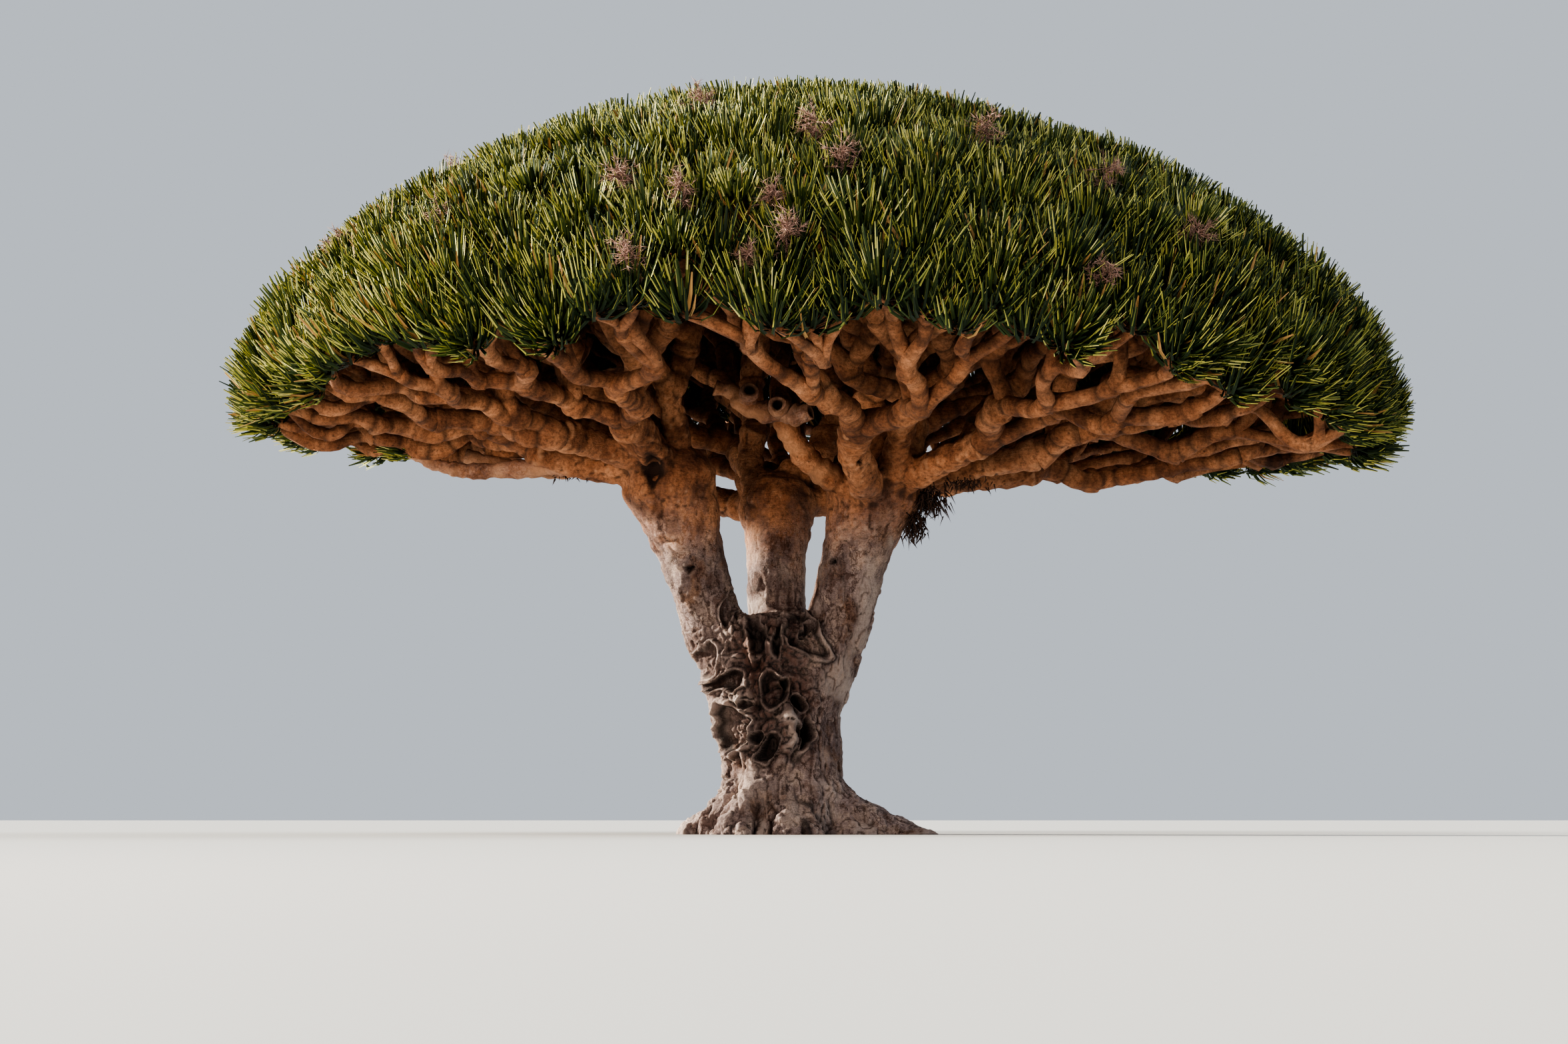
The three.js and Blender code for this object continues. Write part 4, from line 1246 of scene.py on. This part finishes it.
# Blades for rosettes at some places with some axes. A leaf's middle line leaves the head at its lean
# and rises with the square of the way along it. Three columns of points, a broad face and a narrow
# margin folded off it on the side of the light, run to a blunt tip; the foot has no margin. A leaf that
# would leave the crown's outline is shorter.
def leafBlades(places, axes, rng, size=1.0):
    count, perRosette = len(places), leafLook["perRosette"]
    share = ((np.arange(perRosette) + 0.5) / perRosette)[None]
    share = np.clip(share + rng.uniform(-0.02, 0.02, (count, perRosette)), 0, 1)
    turn = np.arange(perRosette) * leafLook["turn"] + rng.uniform(0, 2 * np.pi, (count, 1))
    turn = turn + rng.uniform(-0.25, 0.25, (count, perRosette))
    inner, outer = leafLook["leanInner"], leafLook["leanOuter"]
    lean = np.radians(inner + (outer - inner) * share ** leafLook["leanPower"])
    lean = lean + rng.normal(0, 0.05, lean.shape)
    east = unit(np.cross(acrossFrom(axes, 0.9), axes))[:, None]
    radial = turned(turn, east, np.cross(axes[:, None], east))
    way = turned(lean, axes[:, None], radial)
    length = size * rng.uniform(*leafLook["length"], lean.shape) * rng.uniform(0.92, 1.06, (count, 1))
    length = length * (1 - leafLook["outerShorter"] * share)
    foot = (places[:, None] + axes[:, None] * (0.03 - leafLook["headLength"] * share)[..., None]
            + radial * leafLook["headRadius"])
    rise = leafLook["rise"] * share * rng.uniform(0.65, 1.25, lean.shape)
    bend = rise[..., None] * (unit(axes + [0, 0, 0.8])[:, None] - leafLook["inwards"] * radial)
    allowed = rng.uniform(*leafLook["overshoot"], (count, 1)) + rng.uniform(-0.015, 0.015, lean.shape)
    allowed = allowed + leafLook["waves"] * smoothNoise(places, 0.65, 22)[:, None]
    excess = outsideOutline(foot + length[..., None] * (way + bend)) - allowed
    length = np.maximum(length - 1.15 * np.maximum(excess, 0), 0.5 * length)
    t = np.array(leafLook["sections"])[:, None]
    middle = foot[:, :, None] + length[..., None, None] * (way[:, :, None] * t + bend[:, :, None] * t ** 2)
    tangent = unit(way[:, :, None] + 2 * bend[:, :, None] * t)
    twist = rng.normal(0, 0.5, lean.shape)[..., None, None]
    level = unit(np.cross(axes[:, None], radial))[:, :, None]
    level = squaredOff(level, tangent)
    side = np.cos(twist) * level + np.sin(twist) * np.cross(tangent, level)
    toLight = np.sign(-side[:, :, 1:2, :1] + rng.uniform(-0.5, 0.5, lean.shape)[..., None, None])
    face = unit(np.cross(side, tangent))
    face = face * np.where(face[:, :, 1:2, 2:] < 0, -1.0, 1.0)
    margin = side * toLight
    width = rng.uniform(*leafLook["width"], lean.shape)[..., None, None]
    width = width * np.array(leafLook["profile"])[:, None]
    columns = np.stack([middle - margin * width * 0.5,
                        middle + margin * width * 0.3,
                        middle + margin * width * 0.5 - face * width * leafLook["fold"]], axis=3)
    return np.delete(columns.reshape(count * perRosette, 12, 3), 2, axis=1)


# A broad face for each of the three stretches of a blade and a narrow one for each of the upper two.
def leafFaces(count):
    faces = np.array([[0, 1, 3, 2], [2, 3, 6, 5], [5, 6, 9, 8], [3, 4, 7, 6], [6, 7, 10, 9]])
    offset = np.arange(count)[:, None, None] * 11
    return (faces[None] + offset).reshape(-1, 4)


# The tone of each leaf, 1 or 2, which picks among lit and shaded copies of the leaf green: painted light
# high on the left, painted shade low and on the right, and painted shade from the rosette's middle to its
# outermost leaves.
def leafTones(places, rng):
    light = toneLook["middle"] + toneLook["higher"] * (places[:, 2] - toneLook["height"])
    light = light - toneLook["right"] * places[:, 0] + toneLook["patches"] * smoothNoise(places, 0.9, 21)
    light = light + rng.normal(0, toneLook["rosettes"], len(places))
    tone = light[:, None] + rng.normal(0, toneLook["leaves"], (len(places), leafLook["perRosette"]))
    tone = tone + np.linspace(toneLook["inner"], toneLook["outer"], leafLook["perRosette"])
    return np.clip(np.rint(tone), 1, 2).astype(int)


# The places and axes of some cells' rosettes: outwards from the crown, upwards and along the twig.
def rosetteAxes(chosen):
    places = np.array([cell["fork"] for cell in chosen])
    out = unit(places - focus)
    way = np.array([cell["way"] for cell in chosen])
    axes = leafLook["out"] * out + leafLook["along"] * way
    axes[:, 2] += leafLook["up"]
    return places, unit(axes)


# Rosettes that the forking rule doesn't give: tufts at the ends of the lowest limbs.
extraTufts = [
    {"at": (-3.04, 0.11, 3.10), "axis": (-0.85, -0.2, 0.15), "stem": 2, "size": 0.55},
]

rimTufts = {"below": 3.46, "from": 0.80, "axisUp": 0.05, "size": 0.72}


# The rim's rosettes grow a second tuft that lies outwards. They are those low in the crown and near
# its edge, by the share of the rim's reach.
def rimRosettes(places):
    reach = rimReach(np.arctan2(places[:, 1], places[:, 0]))
    outside = np.hypot(places[:, 0], places[:, 1]) > rimTufts["from"] * reach
    return (places[:, 2] < rimTufts["below"]) & outside


# The blades and places of some rosettes, with second tufts at the rim and the extra tufts.
def growRosettes(places, axes, sizes, tufts, rng):
    axes = unit(axes + rng.normal(0, leafLook["axisJitter"], axes.shape))
    blades, allPlaces = [leafBlades(places, axes, rng, sizes)], [places]
    rim = places[rimRosettes(places)]
    if len(rim):
        outwards = unit((rim - focus) * [1, 1, 0] + [0, 0, rimTufts["axisUp"]])
        blades.append(leafBlades(rim, outwards, rng, rimTufts["size"]))
        allPlaces.append(rim)
        print("grew", len(rim), "tufts at the rim")
    for tuft in tufts:
        place, axis = np.array([tuft["at"]]), unit(np.array([tuft["axis"]]))
        blades.append(leafBlades(place, axis, rng, tuft["size"]))
        allPlaces.append(place)
    return np.concatenate(blades), np.concatenate(allPlaces)


# The material of each face: the broad faces get painted shade at the foot, the margin a painted highlight
# that is strongest at its tip, with a painted glint on half the leaves, and dry leaves are straw all over.
def faceTones(places, rng, straw):
    tone = leafTones(places, rng).ravel()
    leftOf, dryLeft = leafLook["dryLeft"]
    dryChance = np.where(places[:, 0] < leftOf, dryLeft, leafLook["dry"])[:, None]
    dry = (rng.random((len(places), leafLook["perRosette"])) < dryChance).ravel()
    glint = rng.integers(0, 2, len(tone))
    # painted shade at the foot of the broad face, painted highlight up the margin
    tones = np.stack([tone - 1, tone, tone, tone + 1, tone + 2 + glint], axis=1)
    tones[dry] = straw
    return tones.ravel()


def makeLeaves():
    materials = [plainMaterial(name, colour, 0.55, 0.3) for name, colour in leafColours.items()]
    for i, name in enumerate(stemNames):
        rng = np.random.default_rng(100 + i)
        ends = ofStem(cells[-1], i)
        places, axes = rosetteAxes(ends)
        sizes = np.array([[cell.get("size", 1.0)] for cell in ends])
        high = places[:, 2] >= np.median(places[:, 2])
        for half, chosen, tufts in (("upper", high, []), ("lower", ~high, ofStem(extraTufts, i))):
            blades, allPlaces = growRosettes(places[chosen], axes[chosen], sizes[chosen], tufts, rng)
            tones = faceTones(allPlaces, rng, len(materials) - 1)
            piece = meshPiece("leaves_" + name + "_" + half, blades.reshape(-1, 3), leafFaces(len(blades)),
                              np.zeros((0, 3), int), materials, tones)
            piece.data.polygons.foreach_set("use_smooth", np.zeros(len(piece.data.polygons), bool))
            settle(piece, [])


makeLeaves()


# Dry flower heads and fibres

# The azimuth in degrees of each flower head, and the share of the crown's surface above it.
flowerHeads = [
    (-84, 0.39), (-81, 0.56), (-90, 0.68), (-99, 0.68), (-93, 0.93), (-88, 0.9), (257, 0.96), (249, 0.57),
    (251, 0.26), (229, 0.63), (204, 0.59), (-60, 0.88), (-53, 0.57), (-63, 0.47), (-45, 0.7), (8, 0.5),
    (30, 0.8), (55, 0.35), (75, 0.7), (100, 0.5), (118, 0.85), (150, 0.45), (170, 0.75), (185, 0.3),
]
panicleLook = {
    "stalk": 0.37,
    "stalkRadius": 0.009,
    "branches": 26,
    "branch": (0.09, 0.16),
    "branchRadius": 0.005,
    "spikes": 300,
    "spike": (0.05, 0.09),
    "spikeRadius": 0.0030,
}
panicleColours = {"panicle_pink": (0.36, 0.215, 0.175), "panicle_brown": (0.22, 0.13, 0.095)}


# Needles from some feet to some tips: three-sided spikes that taper to a point.
def needles(feet, tips, radius):
    way = unit(tips - feet)
    east = unit(np.cross(acrossFrom(way, 0.9), way))
    ring = turned(evenTurns(3), east[:, None], np.cross(way, east)[:, None])
    base = feet[:, None] + np.asarray(radius).reshape(-1, 1, 1) * ring
    points = np.concatenate([base, tips[:, None]], axis=1)
    sides = np.array([[0, 1, 3], [1, 2, 3], [2, 0, 3], [2, 1, 0]])
    triangles = (sides[None] + np.arange(len(feet))[:, None, None] * 4).reshape(-1, 3)
    return points.reshape(-1, 3), np.zeros((0, 4), int), triangles


# A dry flower head: a stalk up through the rosette with side branches in a bell round it, and fine
# spikes that stand off the branches on all sides.
def panicle(place, axis, rng):
    stalk = panicleLook["stalk"] * rng.uniform(0.9, 1.1)
    top = place + axis * stalk
    branches = panicleLook["branches"]
    at = rng.uniform(0.55, 1, branches)
    way = unit(axis * 0.3 + unit(rng.normal(size=(branches, 3))))
    feet = place + axis * (at * stalk)[:, None]
    tips = feet + way * rng.uniform(*panicleLook["branch"], (branches, 1))
    count = panicleLook["spikes"]
    pick = rng.integers(0, branches, count)
    start = feet[pick] + (tips - feet)[pick] * rng.uniform(0.2, 1, (count, 1))
    spikeWay = unit(way[pick] + 1.3 * unit(rng.normal(size=(count, 3))))
    end = start + spikeWay * rng.uniform(*panicleLook["spike"], (count, 1))
    allFeet = np.concatenate([[place], feet, start])
    allTips = np.concatenate([[top], tips, end])
    radii = [panicleLook[part + "Radius"] for part in ("stalk", "branch", "spike")]
    return needles(allFeet, allTips, np.repeat(radii, [1, branches, count]))


def makePanicles():
    rng = np.random.default_rng(7)
    targets = np.array([crownPoint(math.radians(azimuth), share, crown["rosetteDepth"])
                        for azimuth, share in flowerHeads])
    places, axes = rosetteAxes(cells[-1])
    nearest = np.linalg.norm(places[None] - targets[:, None], axis=2).argmin(axis=1)
    places, axes = places[nearest], axes[nearest]
    parts = [panicle(place, axis, rng) for place, axis in zip(places, axes)]
    points, quads, triangles = joined(parts)
    materials = [plainMaterial(name, colour, 0.8) for name, colour in panicleColours.items()]
    tone = np.repeat(rng.integers(0, 2, len(triangles) // 4 + 1), 4)[:len(triangles)]
    piece = meshPiece("panicles", points, quads, triangles, materials, tone)
    print("placed", len(parts), "flower heads")
    settle(piece, [])


makePanicles()

# Dry fibres where old roots or bark hang from the heads: middle, spread, count and length.
fibreTufts = asTable("at spread count length", [
    ((1.44, -0.40, 2.76), (0.09, 0.07, 0.02), 90, 0.08),
    ((1.13, -0.28, 2.64), (0.07, 0.07, 0.05), 260, 0.13),
    ((1.03, -0.25, 2.46), (0.04, 0.07, 0.06), 220, 0.11),
    ((-1.66, -0.10, 2.86), (0.08, 0.06, 0.02), 50, 0.06),
])


def makeFibres():
    rng = np.random.default_rng(9)
    parts = []
    for tuft in fibreTufts:
        count = tuft["count"]
        feet = np.array(tuft["at"]) + rng.normal(0, 1, (count, 3)) * tuft["spread"]
        way = unit(rng.normal(0, 0.45, (count, 3)) + [0, 0, -1])
        parts.append(needles(feet, feet + way * rng.uniform(0.5, 1, (count, 1)) * tuft["length"],
                             rng.uniform(0.004, 0.010, count)))
    fibre = plainMaterial("fibre_brown", (0.055, 0.028, 0.018), 0.9)
    piece = meshPiece("fibres", *joined(parts), [fibre])
    settle(piece, [])


makeFibres()


# Floor, light and camera

studio = {
    "floor": (0.50, 0.49, 0.47),
    "floorSize": 140.0,
    "sky": (0.82, 0.88, 0.96),
    "skyStrength": 0.56,
    # azimuth and elevation in degrees, strength, angle and colour: the key from the left and a little
    # behind, and soft light on the crown's other sides
    "suns": {
        "key": (163, 12.5, 11.5, 4.0, (1.0, 0.93, 0.80)),
        "soft0": (222, 52, 1.5, 35, (1.0, 0.98, 0.90)),
        "soft1": (14, 34, 1.5, 40, (0.92, 0.96, 1.0)),
    },
    "sunPlace": (0, 0, 12),   # the same for all, as only a sun's turn counts
    "fillPlace": (-11, -22, 2.2),
    "fillTurn": (92, 0, -26),
    "fillPower": 2400,
    "fillColour": (1.0, 0.84, 0.70),
    "fillSize": 8,
    "contrast": "AgX - High Contrast",   # the hard light of a dry highland
}


def makeFloor():
    half = studio["floorSize"] / 2
    points = np.array([[-half, -half, 0], [half, -half, 0], [half, half, 0], [-half, half, 0]])
    floor = meshPiece("floor", points, [[0, 1, 2, 3]], np.zeros((0, 3), int),
                      [plainMaterial("floor_plain", studio["floor"], 0.9, 0.2)])


def addLight(name, kind, place, turn, energy, colour, size):
    data = bpy.data.lights.new(name, kind)
    data.energy = energy
    data.color = colour
    if kind == "SUN":
        data.angle = math.radians(size)
    else:
        data.shape = "DISK"
        data.size = size
    light = bpy.data.objects.new(name, data)
    light.location = place
    light.rotation_euler = [math.radians(angle) for angle in turn]
    bpy.context.scene.collection.objects.link(light)


def makeLight():
    world = bpy.data.worlds.new("studio")
    world.use_nodes = True
    background = world.node_tree.nodes["Background"]
    background.inputs["Color"].default_value = (*studio["sky"], 1)
    background.inputs["Strength"].default_value = studio["skyStrength"]
    bpy.context.scene.world = world
    bpy.context.scene.view_settings.look = studio["contrast"]
    for name, (azimuth, elevation, strength, angle, colour) in studio["suns"].items():
        turn = (90 - elevation, 0, azimuth + 90)
        addLight(name, "SUN", studio["sunPlace"], turn, strength, colour, angle)
    addLight("fill", "AREA", studio["fillPlace"], studio["fillTurn"], studio["fillPower"],
             studio["fillColour"], studio["fillSize"])


camera = {
    "distance": 26.0,
    "height": 0.15,
    "picture": (2354.0, 1568.0),
    "groundPixel": 1253.0,   # the row of the photograph where the trunk's foot meets the ground
    "pixelsPerMetre": 188.7,
}


# The lens makes a metre at the tree as many pixels as in the photograph, whose middle column the trunk
# stands in. The tilt puts the ground point at its own row.
def makeCamera():
    data = bpy.data.cameras.new("camera")
    wide, tall = camera["picture"]
    focal = camera["pixelsPerMetre"] * camera["distance"]
    data.sensor_width = 36
    data.lens = focal / wide * data.sensor_width
    data.clip_end = 400
    tilt = (math.atan((camera["groundPixel"] - tall / 2) / focal)
            - math.atan(camera["height"] / camera["distance"]))
    view = bpy.data.objects.new("camera", data)
    view.location = (0, -camera["distance"], camera["height"])
    view.rotation_euler = (math.pi / 2 + tilt, 0, 0)
    bpy.context.scene.collection.objects.link(view)
    bpy.context.scene.camera = view


makeFloor()
makeLight()
makeCamera()
print("light and camera are in place")
